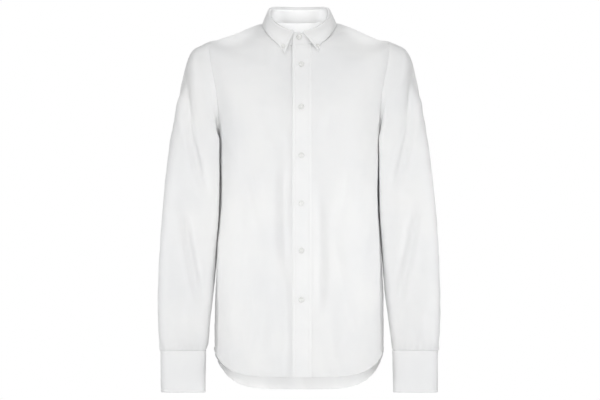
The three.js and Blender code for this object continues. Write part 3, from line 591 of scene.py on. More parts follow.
# %% Cotton
def cotton(name, dark, bright, thread_pitch):
    """Oxford cloth: pairs of threads over single ones, with slubs, a soft change of tone and painted shade in
    the weave's low cells.
    """
    material, tree, surface = new_material(name, 0.86)
    set_inputs(surface, Sheen_Weight=0.12, Sheen_Roughness=0.45, Specular_IOR_Level=0.25)
    chart = tree.nodes.new("ShaderNodeUVMap")
    chart.uv_map = "cloth"
    split = tree.nodes.new("ShaderNodeSeparateXYZ")
    tree.links.new(chart.outputs["UV"], split.inputs["Vector"])
    threads = []
    for axis in "XY":
        turns = reckon(tree, "MULTIPLY", split.outputs[axis], math.pi / thread_pitch)
        threads.append(reckon(tree, "SINE", turns, 0))
    cells = reckon(tree, "MULTIPLY", *threads)
    weave = reckon(tree, "ADD", cells, noise(tree, 900, 2))
    # Painted shade: the weave's low cells are coloured a little darker, as if in the shadow of the threads.
    weave_hollow_shade = reckon(tree, "MULTIPLY", cells, 0.12)
    paint(tree, surface, reckon(tree, "ADD", noise(tree, 9, 3), weave_hollow_shade), dark, bright)
    soft = bump(tree, surface, noise(tree, 75, 3), 0.0006, 0.22)
    bump(tree, surface, weave, 0.00012, 0.35, soft)
    return material


shirt_cotton = cotton("shirt_cotton", (0.83, 0.835, 0.84), (0.875, 0.875, 0.87), 0.0009)
faced_cotton = cotton("faced_cotton", (0.86, 0.865, 0.87), (0.9, 0.9, 0.895), 0.0008)
print("cotton:", shirt_cotton.name, "and, over an interlining,", faced_cotton.name)


# %% Thread and button
thread, tree, surface = new_material("sewing_thread", 0.6)
twist = noise(tree, 2600, 1)
paint(tree, surface, twist, (0.8, 0.8, 0.79), (0.92, 0.92, 0.91))
bump(tree, surface, twist, 0.0001, 0.5)

pearl, tree, surface = new_material("button_pearl", 0.22)
set_inputs(surface, Coat_Weight=0.35, Coat_Roughness=0.12)
cloud = noise(tree, 420, 3)
paint(tree, surface, cloud, (0.73, 0.73, 0.72), (0.85, 0.85, 0.83))
bump(tree, surface, cloud, 0.00008, 0.15)
print("thread and button ready")

# %% [markdown]
# ## The body of the shirt
# The two fronts, the back and the yoke are cut from the body's surface. Each is filled in between four edges
# that meet at corners. Where pieces are sewn together their edges stay on the seam, and the cloth swells up
# away from it, so the seams sink in between. Sewn edges pucker a little, as the thread draws them up.

# %% Rows and columns of a piece
SIDE_ROWS, FRONT_ARM_ROWS, BACK_ARM_ROWS = 18, 9, 7
YOKE_FRONT_AT, YOKE_BACK_AT, YOKE_NECK_TURN, YOKE_BACK_RING = 150, 256, 65, 9.68
BAND_LEFT, BAND_RIGHT, BAND_MIDDLE, UNDERLAP, LAYER = -14, 24, 5, 22, 1.2


def crowded(count, amount=0.5):
    """Shares from 0 to 1 that lie closer together near both ends."""
    u = np.linspace(0, 1, count)
    return u - amount * np.sin(2 * np.pi * u) / (2 * np.pi)


def leading(count):
    """Shares from 0 to 1 that lie closer together near 0."""
    u = np.linspace(0, 1, count)
    return u - 0.6 * np.sin(np.pi * u) / np.pi


def panel_rows(side_count, arm_count, arm_rows):
    """Row numbers, with one row exactly at the underarm, and more of them near the hem and the neck."""
    side = SIDE_ROWS * leading(side_count)
    arm = SIDE_ROWS + arm_rows * (1 - leading(arm_count)[::-1])
    return np.concatenate([side, arm[1:]])


def fill_patch(bottom, top, left, right, row):
    """Places, as turns and rings, inside four edges that meet at their corners."""
    last = row[-1]

    def share(edge):
        return (edge[0] - edge[0][0]) / (edge[0][-1] - edge[0][0])

    def swell(edge):
        return edge[1] - mix(edge[1][0], edge[1][-1], share(edge))

    f = mix(share(bottom), share(top), (row / last)[:, None] ** 3)
    below = np.maximum(0, 1 - row / SIDE_ROWS)[:, None] ** 2
    above = np.maximum(0, (row - SIDE_ROWS) / (last - SIDE_ROWS))[:, None] ** 2
    turn = mix(left[0][:, None], right[0][:, None], f)
    return turn, mix(left[1][:, None], right[1][:, None], f) + below * swell(bottom) + above * swell(top)


FRONT_ROWS = panel_rows(140, 78, FRONT_ARM_ROWS)
BACK_ROWS = panel_rows(120, 66, BACK_ARM_ROWS)
print("rows in a front:", len(FRONT_ROWS), "and in the back:", len(BACK_ROWS))

# %% Cloth on the body
ARMHOLE_LINE = body_plain(*armhole(np.linspace(0, 360, 121)))


def distance_to(line, points):
    """The distance from each point to a line of points, either side of the body."""
    folded = points.copy()
    folded[..., 0] = np.abs(points[..., 0])
    nearest = np.full(points.shape[:-1], 1e9)
    for stop in line:
        nearest = np.minimum(nearest, np.linalg.norm(folded - stop, axis=-1))
    return nearest


def body_cloth(turn, at, lift=0.0):
    """Points of cloth on the body. Near the armholes and the neck the seams hold it still."""
    plain, normal = body_plain(turn, at), body_normal(turn, at)
    held = smooth(distance_to(ARMHOLE_LINE, plain) / 16) * smooth((NECK - at) / 0.8)
    facing = np.cos(np.radians(turn))
    depth = fold_depth(BODY_FOLDS, plain[..., 0], plain[..., 2], facing)
    stiff = 1 - 0.6 * (1 - smooth((np.abs(plain[..., 0] - BAND_MIDDLE) - 14) / 14)) * smooth(facing)
    free = smooth((np.abs(facing) - 0.1) / 0.4)
    depth = depth * stiff + (drape(plain) + hang(plain) * stiff * free) * held
    return raised(plain, normal, lift + depth), normal


def swell_from(away, height=0.22):
    """Cloth that rises away from a seam."""
    return height * (1 - bell(away, 0, 1.9))


def hem_relief(points, away, seed):
    """A narrow turned-up hem: double cloth below its row of stitches, and ripples where it was sewn."""
    turned = 0.35 * (1 - smooth((away - 6) / 1.2)) - 0.35 * bell(away, HEM_STITCH, 1.1)
    corners = bell(np.abs(points[..., 0]), 92, 42)
    return turned + (0.14 + 0.24 * corners) * ripples(arc(points, 1)[0], seed, 6, 11, 34) * np.exp(-away / 13)


print("armhole, mm round:", round(float(arc(ARMHOLE_LINE[None], 1)[0, -1]), 1))


# %% A front
def middle_line(x, row):
    """The line up the middle front at this x, as turns and rings, from the hem to the neck."""
    hem = hem_ring(turn_at(np.array(1.0), np.array(x)))
    at = np.where(
        row <= SIDE_ROWS,
        mix(hem, UNDERARM, row / SIDE_ROWS),
        mix(UNDERARM, NECK, (row - SIDE_ROWS) / FRONT_ARM_ROWS),
    )
    return turn_at(at, np.full(at.shape, float(x))), at


def side_line(row, arm_rows, arm_from, arm_to):
    """Up the side seam and then along the armhole."""
    arm_turn, arm_ring = armhole(mix(arm_from, arm_to, np.clip((row - SIDE_ROWS) / arm_rows, 0, 1)))
    seam = mix(hem_ring(90), UNDERARM, row / SIDE_ROWS)
    return np.where(row <= SIDE_ROWS, 90, arm_turn), np.where(row <= SIDE_ROWS, seam, arm_ring)


def front_grid(side, edge_x):
    """The turns and rings of a front, on the wearer's left for side 1."""
    f = crowded(104, 0.6)
    middle = middle_line(edge_x * side, FRONT_ROWS)
    outer = side_line(FRONT_ROWS, FRONT_ARM_ROWS, 0, YOKE_FRONT_AT)
    hem_turn = mix(middle[0][0], 90, f)
    corner = armhole(YOKE_FRONT_AT)
    neck_share, seam_share = np.clip(2 * f, 0, 1), np.clip(2 * f - 1, 0, 1)
    top_turn = mix(mix(middle[0][-1], YOKE_NECK_TURN, neck_share), corner[0], seam_share)
    top = (top_turn, mix(NECK, corner[1], seam_share))
    turn, at = fill_patch((hem_turn, hem_ring(hem_turn)), top, middle, outer, FRONT_ROWS)
    return turn * side, at


def front_piece(name, side, edge_x, lift_at, seed):
    """A front, and its grid as points and the way each looks."""
    turn, at = front_grid(side, edge_x)
    plain = body_plain(turn, at)
    lift = lift_at(plain[..., 0], plain[..., 2])
    flat, normal = body_cloth(turn, at, lift)
    away = edge_distances(flat)
    relief = swell_from(np.minimum(away["right"], away["top"])) + hem_relief(flat, away["bottom"], seed)
    relief += pucker(arc(flat, 0)[:, -1:], away["right"], 13, 0.22, seed + 1)
    relief += pucker(arc(flat, 1)[-1:], away["top"], 12, 0.2, seed + 2)
    relief *= smooth((np.abs(plain[..., 0]) - 20) / 12) * 0.9 + 0.1
    grid = (raised(flat, normal, relief), normal)
    return cloth_piece(name, *grid, THICK["single"], shirt_cotton, sewn=("right", "top")), grid


def climb_onto(x, z):
    """The wearer's left front climbs onto the right one."""
    return LAYER * (1 - smooth((x - BAND_RIGHT) / 40))


def dive_under(x, z):
    """The wearer's right front goes under the band, and sinks beside its free edge: most at the top, and then
    a little down to the fifth button."""
    depth = 1.1 * smooth((z + 470) / 70) + 2.6 * smooth((z + 112) / 30)
    sunk = 1 + depth * bell(x, BAND_LEFT, 1.8)
    return -0.7 * smooth((x - BAND_LEFT + 12) / 10) * sunk


front_left, front_left_grid = front_piece("front_left_cloth", 1, BAND_LEFT, climb_onto, 21)
front_right, front_right_grid = front_piece("front_right_cloth", -1, UNDERLAP, dive_under, 31)
declare("front_left")
declare("front_right")

# %% The button band
BUTTON_HEIGHTS = (-75, -161, -256, -351, -446, -541)


def band_lift(x, z):
    """The band's free edge curls up a little in its upper part, which draws the dark line beside it."""
    return 2 * LAYER + 1.1 * (1 - smooth((x - BAND_LEFT) / 14)) * smooth((z + 470) / 60)


def button_pull(points):
    """Each button draws the band in around it."""
    pull = sum(bell(points[..., 2], z, 9) for z in BUTTON_HEIGHTS)
    return -0.4 * pull * bell(points[..., 0], BAND_MIDDLE, 10)


band_x = BAND_LEFT + (BAND_RIGHT - BAND_LEFT) * crowded(44)
band_lines = [middle_line(x, FRONT_ROWS) for x in band_x]
band_turn, band_ring = (np.stack(part, axis=1) for part in zip(*band_lines))
band_plain = body_plain(band_turn, band_ring)
band_flat, band_ways = body_cloth(band_turn, band_ring, band_lift(band_plain[..., 0], band_plain[..., 2]))
band_away = edge_distances(band_flat)
band_edge = np.minimum(band_away["left"], band_away["right"])
band_relief = button_pull(band_flat) - 0.4 * bell(band_edge, EDGE_STITCH, 0.9)
band_relief += pucker(arc(band_flat, 0), band_edge, 15, 0.14, 41, reach=5) - 0.5 * np.exp(-band_edge / 0.7)
band_grid = (raised(band_flat, band_ways, band_relief), band_ways)
button_band = cloth_piece("button_band_cloth", *band_grid, THICK["band"], faced_cotton)
declare("button_band")


# %% The back
def yoke_seam_back(f):
    from_turn, from_ring = armhole(YOKE_BACK_AT)
    turn = mix(from_turn, 360 - from_turn, f)
    return turn, mix(from_ring, YOKE_BACK_RING, 1 - np.abs(2 * f - 1) ** 2)


back_share = crowded(150)
back_left = side_line(BACK_ROWS, BACK_ARM_ROWS, 360, YOKE_BACK_AT)
back_right = (360 - back_left[0], back_left[1])
hem_turn = mix(90, 270, back_share)
back_hem = (hem_turn, hem_ring(hem_turn))
back_flat, back_ways = body_cloth(
    *fill_patch(back_hem, yoke_seam_back(back_share), back_left, back_right, BACK_ROWS)
)
back_away = edge_distances(back_flat)
back_sides = np.minimum(back_away["left"], back_away["right"])
back_relief = swell_from(np.minimum(back_sides, back_away["top"]))
back_relief = back_relief + hem_relief(back_flat, back_away["bottom"], 51)
back_relief += pucker(arc(back_flat, 0)[:, :1], back_sides, 13, 0.22, 52)
back_relief += pucker(arc(back_flat, 1)[-1:], back_away["top"], 14, 0.25, 53)
back_grid = (raised(back_flat, back_ways, back_relief), back_ways)
back = cloth_piece("back_cloth", *back_grid, THICK["single"], shirt_cotton, sewn=("left", "right", "top"))
declare("back")

# %% The yoke
over_count, across_count, yoke_rows = 26, 110, 40
over_turn, over_ring = armhole(mix(YOKE_FRONT_AT, YOKE_BACK_AT, np.linspace(0, 1, over_count)))
seam_turn, seam_ring = yoke_seam_back(np.linspace(0, 1, across_count))
edge_turn = np.concatenate([over_turn, seam_turn[1:], 360 - over_turn[::-1][1:]])
edge_ring = np.concatenate([over_ring, seam_ring[1:], over_ring[::-1][1:]])
# The neck's edge has three parts, which end behind the shoulders, at these turns.
BEHIND_LEFT, BEHIND_RIGHT = 110, 250
neck_front = np.linspace(YOKE_NECK_TURN, BEHIND_LEFT, over_count)
neck_back = np.linspace(BEHIND_LEFT, BEHIND_RIGHT, across_count)
neck_end = np.linspace(BEHIND_RIGHT, 360 - YOKE_NECK_TURN, over_count)
neck_turn = np.concatenate([neck_front, neck_back[1:], neck_end[1:]])
inwards = crowded(yoke_rows)[:, None]
yoke_flat, yoke_ways = body_cloth(mix(edge_turn, neck_turn, inwards), mix(edge_ring, NECK, inwards))
yoke_relief = swell_from(nearest_edge(yoke_flat))
yoke_relief = yoke_relief + pucker(arc(yoke_flat, 1)[:1], arc(yoke_flat, 0), 14, 0.2, 61)
yoke_grid = (raised(yoke_flat, yoke_ways, yoke_relief), yoke_ways)
all_sides = ("left", "right", "bottom", "top")
yoke = cloth_piece("yoke_cloth", *yoke_grid, THICK["single"], shirt_cotton, sewn=all_sides)
declare("yoke")

# %% [markdown]
# ## Sleeves and cuffs
# A sleeve is a tube that leaves the armhole, bends at the elbow and is pleated into the cuff. Its rings are
# given by the points where they are furthest out and furthest in, and by their depth. Folds run down it
# from the elbow, because the arm bends there. The right sleeve wears its folds a little lower than the left.

# %% Table of the sleeve
STATION_COLUMNS = "outerX outerZ innerX innerZ middle front back"
SLEEVE = table(
    STATION_COLUMNS,
    (172.5, -31, 161, -215, 0, 54, 55),
    (193, -37, 161.5, -219, 1, 58, 59),
    (210, -45, 160, -224, 3, 61, 62),
    (220.5, -60, 157, -230, 6, 62, 63),
    (227, -82, 154, -238, 10, 62, 63),
    (234.5, -112, 152, -248, 14, 61, 62),
    (241.5, -148, 151, -263, 18, 59.5, 61),
    (250.5, -190, 150.5, -284, 21, 58, 59.5),
    (258.5, -236, 151, -312, 23, 56, 57.5),
    (265.5, -284, 153, -346, 24, 54.5, 55.5),
    (271.5, -334, 156, -384, 22, 53, 53.5),
    (276, -386, 161, -424, 19, 51.5, 51.5),
    (279.5, -440, 166, -466, 14, 50, 49.5),
    (282, -494, 171, -508, 8, 48, 47.5),
    (283, -544, 176, -550, 2, 46, 45.5),
    (282.5, -588, 180.5, -590, -3, 43, 43),
    (280, -624, 184, -624, -7, 38.5, 38.5),
    (276.5, -644, 187, -644, -9, 32, 32),
)
CUFF = table(
    STATION_COLUMNS,
    (276.8, -644, 186.7, -644, -9, 32.5, 32.5),
    (276, -728, 188.6, -728, -10, 31.5, 31.5),
)
LAST_STATION, STATION_PITCH = len(SLEEVE) - 1, 38
CUFF_SEAM = -644
SQUARE_INSIDE, SQUARE_OUTSIDE = 3.8, 3.3
print("stations down a sleeve:", len(SLEEVE))


# %% The sleeve's surface
def section_point(row, at, out=0.0):
    """A point of one ring of the sleeve, at degrees round it from the inner side."""
    s, c = np.sin(np.radians(at)), np.cos(np.radians(at))
    square = np.where(s > 0, np.where(c > 0, SQUARE_INSIDE, SQUARE_OUTSIDE), 2.15)
    q = (np.abs(s) ** square + np.abs(c) ** square) ** (-1 / square)
    half_x, half_z = (row["outerX"] - row["innerX"]) / 2, (row["outerZ"] - row["innerZ"]) / 2
    grow = 1 + out / np.hypot(half_x, half_z)
    depth = np.where(s > 0, row["front"], row["back"]) + out
    x = row["innerX"] + half_x - half_x * c * q * grow
    z = row["innerZ"] + half_z - half_z * c * q * grow
    return np.stack(np.broadcast_arrays(x, row["middle"] - depth * s * q, z), axis=-1)


def body_half_width(y, z):
    """How wide the body is at this depth and height, below the underarm."""
    row = row_at(BODY, np.clip(ring_at(z), 0, UNDERARM))
    share = np.clip(np.abs(y) / np.where(y < 0, row["front"], row["back"]), 0, 1)
    return row["side"] * (1 - share ** row["square"]) ** (1 / row["square"])


def clear_of_body(points, gap):
    """The sleeve's points, kept this many mm from the side of the body below the underarm."""
    x, y, z = points[..., 0], points[..., 1], points[..., 2]
    nearest = body_half_width(y, z) + gap
    x = np.where(x < nearest, mix(x, nearest, smooth((-211 - z) / 16)), x)
    return np.stack([x, y, z], axis=-1)


def sleeve_plain(at, down):
    """A point of the left sleeve, at degrees round it and stations down it."""
    p = section_point(row_at(SLEEVE, down), at)
    left = 1 - smooth(down / 3.2)
    start = section_point(row_at(SLEEVE, 0 * down), at)
    p = p + (body_plain(*armhole(at)) - start) * left[..., None]
    away = smooth(1.6 * down) * (1 - smooth((down - 0.8) / 3)) * smooth(np.cos(np.radians(at)) + 0.4)
    x, y, z = p[..., 0] + 3 * away, p[..., 1], p[..., 2]
    return clear_of_body(np.stack([x, y, z], axis=-1), 2)


def sleeve_normal(at, down):
    low = np.maximum(down - 0.05, 0)
    along = sleeve_plain(at, low + 0.1) - sleeve_plain(at, low)
    around = sleeve_plain(at + 2, down) - sleeve_plain(at - 2, down)
    return unit(np.cross(along, around))


def pleat(at, centre, z):
    """Cloth tucked over itself above the cuff: it rises slowly and drops sharply."""
    across = np.radians(at - centre) * 40
    lip = smooth((across + 11) / 11) * (1 - smooth(across / 2.5))
    return 2.6 * lip * np.exp(-np.maximum(0, z - CUFF_SEAM) / 22)


def sleeve_cloth(at, down, shift, lift=0.0):
    """Points of the left sleeve with its folds, and the way the cloth faces there."""
    plain, normal = sleeve_plain(at, down), sleeve_normal(at, down)
    x, z = plain[..., 0], plain[..., 2]
    facing = np.sin(np.radians(at))
    folds = fold_depth(SLEEVE_FOLDS, x, z + shift, facing) * smooth((down - 0.5) / 2.5)
    loose = smooth(down / 1.3) * smooth((LAST_STATION - down) / 0.8)
    depth = folds + 1.15 * drape(plain + (0, 0, 40 * shift)) * loose + pleat(at, 133, z) + pleat(at, 165, z)
    return raised(plain, normal, lift + depth), normal


round_grid, down_grid = np.meshgrid(np.linspace(0, 360, 113), np.linspace(0, LAST_STATION, 232))
sleeve_flat = sleeve_cloth(round_grid, down_grid, 0)[0]
print("left sleeve, m long:", round(float(arc(sleeve_flat, 0)[-1].mean()) * MM, 3))


# %% Both sleeves
def mirrored(points, side):
    """Points of the left side, on the left for side 1 and on the right for -1."""
    return points * (side, 1, 1)


def sleeve_piece(name, side, shift, seed):
    around, down = np.meshgrid(np.linspace(0, 360, 117), LAST_STATION * crowded(236))
    flat, normal = sleeve_cloth(around, down, shift)
    away = edge_distances(flat)
    relief = swell_from(away["bottom"]) - 0.6 * (1 - smooth(away["top"] / 3))
    relief += pucker(arc(flat, 1)[:1], away["bottom"], 13, 0.25, seed)
    gathers = pucker(arc(flat, 1)[-1:], away["top"], 10, 0.45, seed + 1, reach=7)
    relief += gathers + swell_from(np.minimum(away["left"], away["right"]), 0.4)
    points = clear_of_body(raised(flat, normal, relief), 4)
    points[:, -1] = points[:, 0]
    grid = (mirrored(points, side), mirrored(normal, side))
    return cloth_piece(name, *grid, THICK["single"], shirt_cotton, closed=True, sewn=("bottom",))


sleeve_left = sleeve_piece("sleeve_left_cloth", 1, 0, 71)
sleeve_right = sleeve_piece("sleeve_right_cloth", -1, 3, 81)
declare("sleeve_left")
declare("sleeve_right")


# %% Cuffs
CUFF_START, CUFF_REACH, CUFF_BUTTON_TURN = 224, 394, 17
CUFF_TURNS = CUFF_REACH * crowded(150)


def cuff_point(turn, down):
    """Round the cuff from its outer end, which lies above the inner one."""
    climb = 2.1 * (1 - smooth((turn - 34) / 60))
    return section_point(row_at(CUFF, down), CUFF_START + turn, climb)


def cuff_piece(name, side, seed):
    """A cuff, and its grid as points and the way each looks."""
    turn, down = np.meshgrid(CUFF_TURNS, crowded(44))
    flat = cuff_point(turn, down)
    around = cuff_point(turn + 2, down) - cuff_point(turn - 2, down)
    normal = unit(np.cross(np.broadcast_to((0.0, 0.0, -1.0), around.shape), around))
    away = edge_distances(flat)
    edge = nearest_edge(flat)
    relief = 1.0 - 0.9 * np.exp(-edge / 0.9) - 0.4 * bell(edge, EDGE_STITCH, 0.9)
    relief += pucker(arc(flat, 1), np.minimum(away["top"], away["bottom"]), 15, 0.12, seed, reach=6)
    ends = smooth(turn / 40) * smooth((CUFF_REACH - turn) / 40)
    relief += 0.35 * drape(flat + (0, 40 * seed, 0)) * ends
    grid = (mirrored(raised(flat, normal, relief), side), mirrored(normal, side))
    return cloth_piece(name, *grid, THICK["cuff"], faced_cotton), grid


cuff_left, cuff_left_grid = cuff_piece("cuff_left_cloth", 1, 91)
cuff_right, cuff_right_grid = cuff_piece("cuff_right_cloth", -1, 95)
declare("cuff_left")
declare("cuff_right")


# %% Sleeve plackets
PLACKET_LENGTH, PLACKET_MIDDLE, PLACKET_HALF_WIDTH = 130, 216, 8


def placket_piece(name, side, shift):
    """The strip over the slit above the cuff, with a pointed top, and its grid."""
    share, down = np.meshgrid(np.linspace(-1, 1, 21), np.linspace(0, 1, 76))
    width = np.clip(down * PLACKET_LENGTH / 8, 0.02, 1)
    along = mix(LAST_STATION - PLACKET_LENGTH / STATION_PITCH, LAST_STATION - 0.1, down)
    around = PLACKET_MIDDLE + PLACKET_HALF_WIDTH * share * width
    flat, normal = sleeve_cloth(around, along, shift, 1.5)
    edge = nearest_edge(flat)
    relief = -0.5 * np.exp(-edge / 0.8) - 0.3 * bell(edge, PLACKET_STITCH, 0.7)
    grid = (mirrored(raised(flat, normal, relief), side), mirrored(normal, side))
    return cloth_piece(name, *grid, THICK["placket"], faced_cotton), grid


placket_left, placket_left_grid = placket_piece("sleeve_placket_left_cloth", 1, 0)
placket_right, placket_right_grid = placket_piece("sleeve_placket_right_cloth", -1, 3)
declare("sleeve_placket_left")
declare("sleeve_placket_right")

# %% [markdown]
# ## Collar
# The collar is two pieces. The stand is a stiff band that is sewn round the neck and laps at the front, where
# it buttons. The leaf is sewn to the top of the stand, folds over it and comes down to two points, which are
# buttoned to the fronts. Its soft roll between fold and points is what sets a button-down collar apart.

# %% The stand
STAND_TOP = dict(side=58.5, sideZ=29, front=57, frontZ=-11, back=49, backZ=38.5, tilt=27, square=2.3)
STAND_START, STAND_END = -turn_on_neck(14), 360 + turn_on_neck(22)


def outwards(turn):
    around = ring_point(STAND_TOP, turn + 1) - ring_point(STAND_TOP, turn - 1)
    return unit(np.cross(around, np.broadcast_to((0.0, 0.0, 1.0), around.shape)))


def stand_point(turn, share):
    """Up the stand from the neck seam. Its left end lies on the band, and its right end beneath that."""
    climb = 2 * LAYER * (1 - smooth((turn - 20) / 45)) + 0.1 * smooth((turn - 295) / 45)
    neck = np.full(turn.shape, float(NECK))
    low = raised(body_plain(turn, neck), body_normal(turn, neck), climb)
    high = ring_point(STAND_TOP, turn, climb)
    return mix(low, high, share[..., None])


stand_turn, stand_share = np.meshgrid(mix(STAND_START, STAND_END, crowded(220)), crowded(26))
stand_ways = outwards(stand_turn)
square_ended = edge_distances(stand_point(stand_turn, stand_share))
stand_from_end = np.minimum(square_ended["left"], square_ended["right"])
corner = 1 - np.sqrt(np.clip(1 - np.clip(1 - stand_from_end / 9, 0, 1) ** 2, 0, 1))
stand_flat = stand_point(stand_turn, stand_share * (1 - 0.42 * corner))
stand_relief = 0.5 - 0.6 * np.exp(-nearest_edge(stand_flat) / 0.8) - 0.3 * bell(arc(stand_flat, 0), 3, 0.9)
stand_grid = (raised(stand_flat, stand_ways, stand_relief), stand_ways)
collar_stand = cloth_piece("collar_stand_cloth", *stand_grid, THICK["stand"], faced_cotton)
declare("collar_stand")


# %% The leaf's edge
def lie_above(turn, at):
    """A point just above the shirt, where the leaf's edge lies."""
    plain, normal = body_plain(turn, at), body_normal(turn, at)
    lift = 2.0 + LAYER * (0 < turn < 60)
    return dict(zip("xyz", plain + normal * lift))


def half_edge(side, points):
    rows = [lie_above(*(float(v) for v in front_place(np.array(x * side), np.array(z)))) for x, z in points]
    rows += [lie_above(90 * side, 14.7), lie_above(128 * side, 14.35), lie_above(155 * side, 14.05)]
    return rows


EDGE_SHARES = (0, 0.11, 0.21, 0.31, 0.41, 0.55, 0.7, 0.85)
SIDE_POINTS = [(41, -37), (54, -25.5), (63, -16), (69, -6.5)]
left_edge = half_edge(1, [(38.8, -50.4)] + SIDE_POINTS)
right_edge = half_edge(-1, [(28.6, -53.4)] + SIDE_POINTS)
EDGE = left_edge + [lie_above(180, 13.9)] + right_edge[::-1]
SHARES = np.array(list(EDGE_SHARES) + [1] + [2 - share for share in EDGE_SHARES[::-1]])


def edge_point(share):
    at = np.interp(share, SHARES, np.arange(len(SHARES)))
    return np.stack([between(EDGE, axis, at) for axis in "xyz"], axis=-1)


print("leaf points, mm:", edge_point(np.array([0, 2])).round(1).tolist())


# %% The leaf
FOLD_PROFILE = table(
    "out up",
    (-1.2, -2.5),
    (-1.2, 0.3),
    (-1.0, 2.2),
    (0.9, 3.6),
    (3.0, 3.0),
    (4.2, 0.6),
)
LEAF_START, LEAF_END = turn_on_neck(8), 360 - turn_on_neck(12)
LEAF_ROWS, LEAF_COLUMNS, ROWS_INSIDE_FOLD = 64, 230, 27


def leaf_rows(share, count):
    """Points of the leaf from inside the stand, over the fold and down to the edge."""
    turn = mix(LEAF_START, LEAF_END, share / 2)
    out, top = outwards(turn), stand_point(turn, np.ones_like(turn))
    up = np.array((0.0, 0.0, 1.0))
    lines = [top + out * step["out"] + up * step["up"] for step in FOLD_PROFILE]
    under_fold, edge = lines[-1], edge_point(share)
    roll = 4.0 - 3.8 * bell(np.minimum(share, 2 - share), 0.6, 0.24)
    for f in (0.2, 0.4, 0.6, 0.8, 1.0):
        bulge = roll * math.sin(math.pi * f**0.8)
        lines.append(raised(mix(under_fold, edge, f), out, bulge))
    stops = [dict(enumerate(line.ravel())) for line in lines]
    at = np.linspace(0, len(stops) - 1, count)
    return np.stack([between(stops, key, at) for key in stops[0]], axis=-1).reshape(count, len(share), 3)


leaf_share = 2 * crowded(LEAF_COLUMNS, 0.6)
leaf_flat = leaf_rows(leaf_share, LEAF_ROWS)
leaf_ways = grid_normals(leaf_flat)
if leaf_ways[40, LEAF_COLUMNS // 2] @ outwards(np.array(180.0)) < 0:
    leaf_ways = -leaf_ways
leaf_away = edge_distances(leaf_flat)
leaf_edge_away = np.minimum.reduce([leaf_away["left"], leaf_away["right"], leaf_away["top"]])
leaf_relief = 0.5 - 0.7 * np.exp(-leaf_edge_away / 0.9) - 0.4 * bell(leaf_edge_away, EDGE_STITCH, 0.9)
leaf_relief += 0.3 * drape(leaf_flat) * smooth(leaf_edge_away / 8)
leaf_grid = (raised(leaf_flat, leaf_ways, leaf_relief), leaf_ways)
collar_leaf = cloth_piece("collar_leaf_cloth", *leaf_grid, THICK["leaf"], faced_cotton)
declare("collar_leaf")

# %% [markdown]
# ## Buttons
# A shirt button is a small disc with a raised rim, a dished middle and four holes. Its half section is spun
# into a solid, and a Boolean drills the holes through it. Thread crosses between the holes and runs down
# behind as a short shank. One button of each size is made, and its mesh is copied to every place.

# %% One button
# The half section from the middle of the back, round the rim and into the dish, in radii and thicknesses.
SECTION = table(
    "out up",
    (0, 0),
    (0.8, 0),
    (0.98, 0.25),
    (1, 0.5),
    (0.97, 0.8),
    (0.88, 1),
    (0.78, 0.98),
    (0.68, 0.8),
    (0.6, 0.7),
    (0, 0.68),
)


def spun_disc(radius, thick):
    """The solid of a button about +Z, with its back at 0, spun from its half section."""
    bm = bmesh.new()
    line = [bm.verts.new((p["out"] * radius * MM, 0, p["up"] * thick * MM)) for p in SECTION]
    edges = [bm.edges.new(pair) for pair in zip(line, line[1:])]
    bmesh.ops.spin(
        bm, geom=line + edges, axis=(0, 0, 1), cent=(0, 0, 0), steps=40, angle=2 * math.pi, use_merge=True
    )
    bmesh.ops.remove_doubles(bm, verts=bm.verts, dist=1e-7)
    bmesh.ops.recalc_face_normals(bm, faces=bm.faces)
    return bm


def rod(bm, start, end, radius, sides):
    """A round rod from start to end, added to bm."""
    start, end = Vector(start), Vector(end)
    run = end - start
    turn = run.to_track_quat("Z", "Y").to_matrix().to_4x4()
    place = Matrix.Translation((start + end) / 2) @ turn
    bmesh.ops.create_cone(
        bm, cap_ends=True, segments=sides, radius1=radius, radius2=radius, depth=run.length, matrix=place
    )


def mesh_of(bm, name, material):
    mesh = bpy.data.meshes.new(name)
    bm.to_mesh(mesh)
    bm.free()
    mesh.materials.append(material)
    return mesh


def drilled_button(name, radius, thick):
    """The button with its four holes, as a mesh."""
    disc = add_object(name, mesh_of(spun_disc(radius, thick), name, pearl))
    drills = bmesh.new()
    gap = 0.2 * radius * MM
    for x, y in ((-gap, -gap), (gap, -gap), (-gap, gap), (gap, gap)):
        rod(drills, (x, y, -0.002), (x, y, 0.006), 0.105 * radius * MM, sides=14)
    drill = add_object(name + "_drill", mesh_of(drills, name + "_drill", pearl))
    cut = disc.modifiers.new("holes", "BOOLEAN")
    cut.operation = "DIFFERENCE"
    cut.object = drill
    cut.solver = "EXACT"
    bpy.context.view_layer.update()
    made = bpy.data.meshes.new_from_object(disc.evaluated_get(bpy.context.evaluated_depsgraph_get()))
    made.shade_smooth()
    made.set_sharp_from_angle(angle=math.radians(40))
    for piece in (disc, drill):
        bpy.data.objects.remove(piece)
    return made


def button_thread(radius, thick):
    """Thread over the two pairs of holes, and the shank behind the button."""
    bm = bmesh.new()
    gap, top = 0.2 * radius * MM, 0.7 * thick * MM
    for x in (-gap, gap):
        for strand in (-0.045, 0.045):
            side = x + strand * radius * MM
            rod(bm, (side, -gap, top), (side, gap, top), 0.05 * radius * MM, sides=6)
        for y in (-gap, gap):
            rod(bm, (x, y, -0.001), (x, y, top + 0.00008), 0.09 * radius * MM, sides=8)
    rod(bm, (0, 0, -0.0016), (0, 0, 0.0002), 0.24 * radius * MM, sides=14)
    return bm


BUTTON, SMALL_BUTTON = (5.6, 2.2), (4.4, 1.9)
discs = {size: drilled_button(f"disc_{size[0]}", *size) for size in (BUTTON, SMALL_BUTTON)}
print("faces in a button:", {size[0]: len(mesh.polygons) for size, mesh in discs.items()})


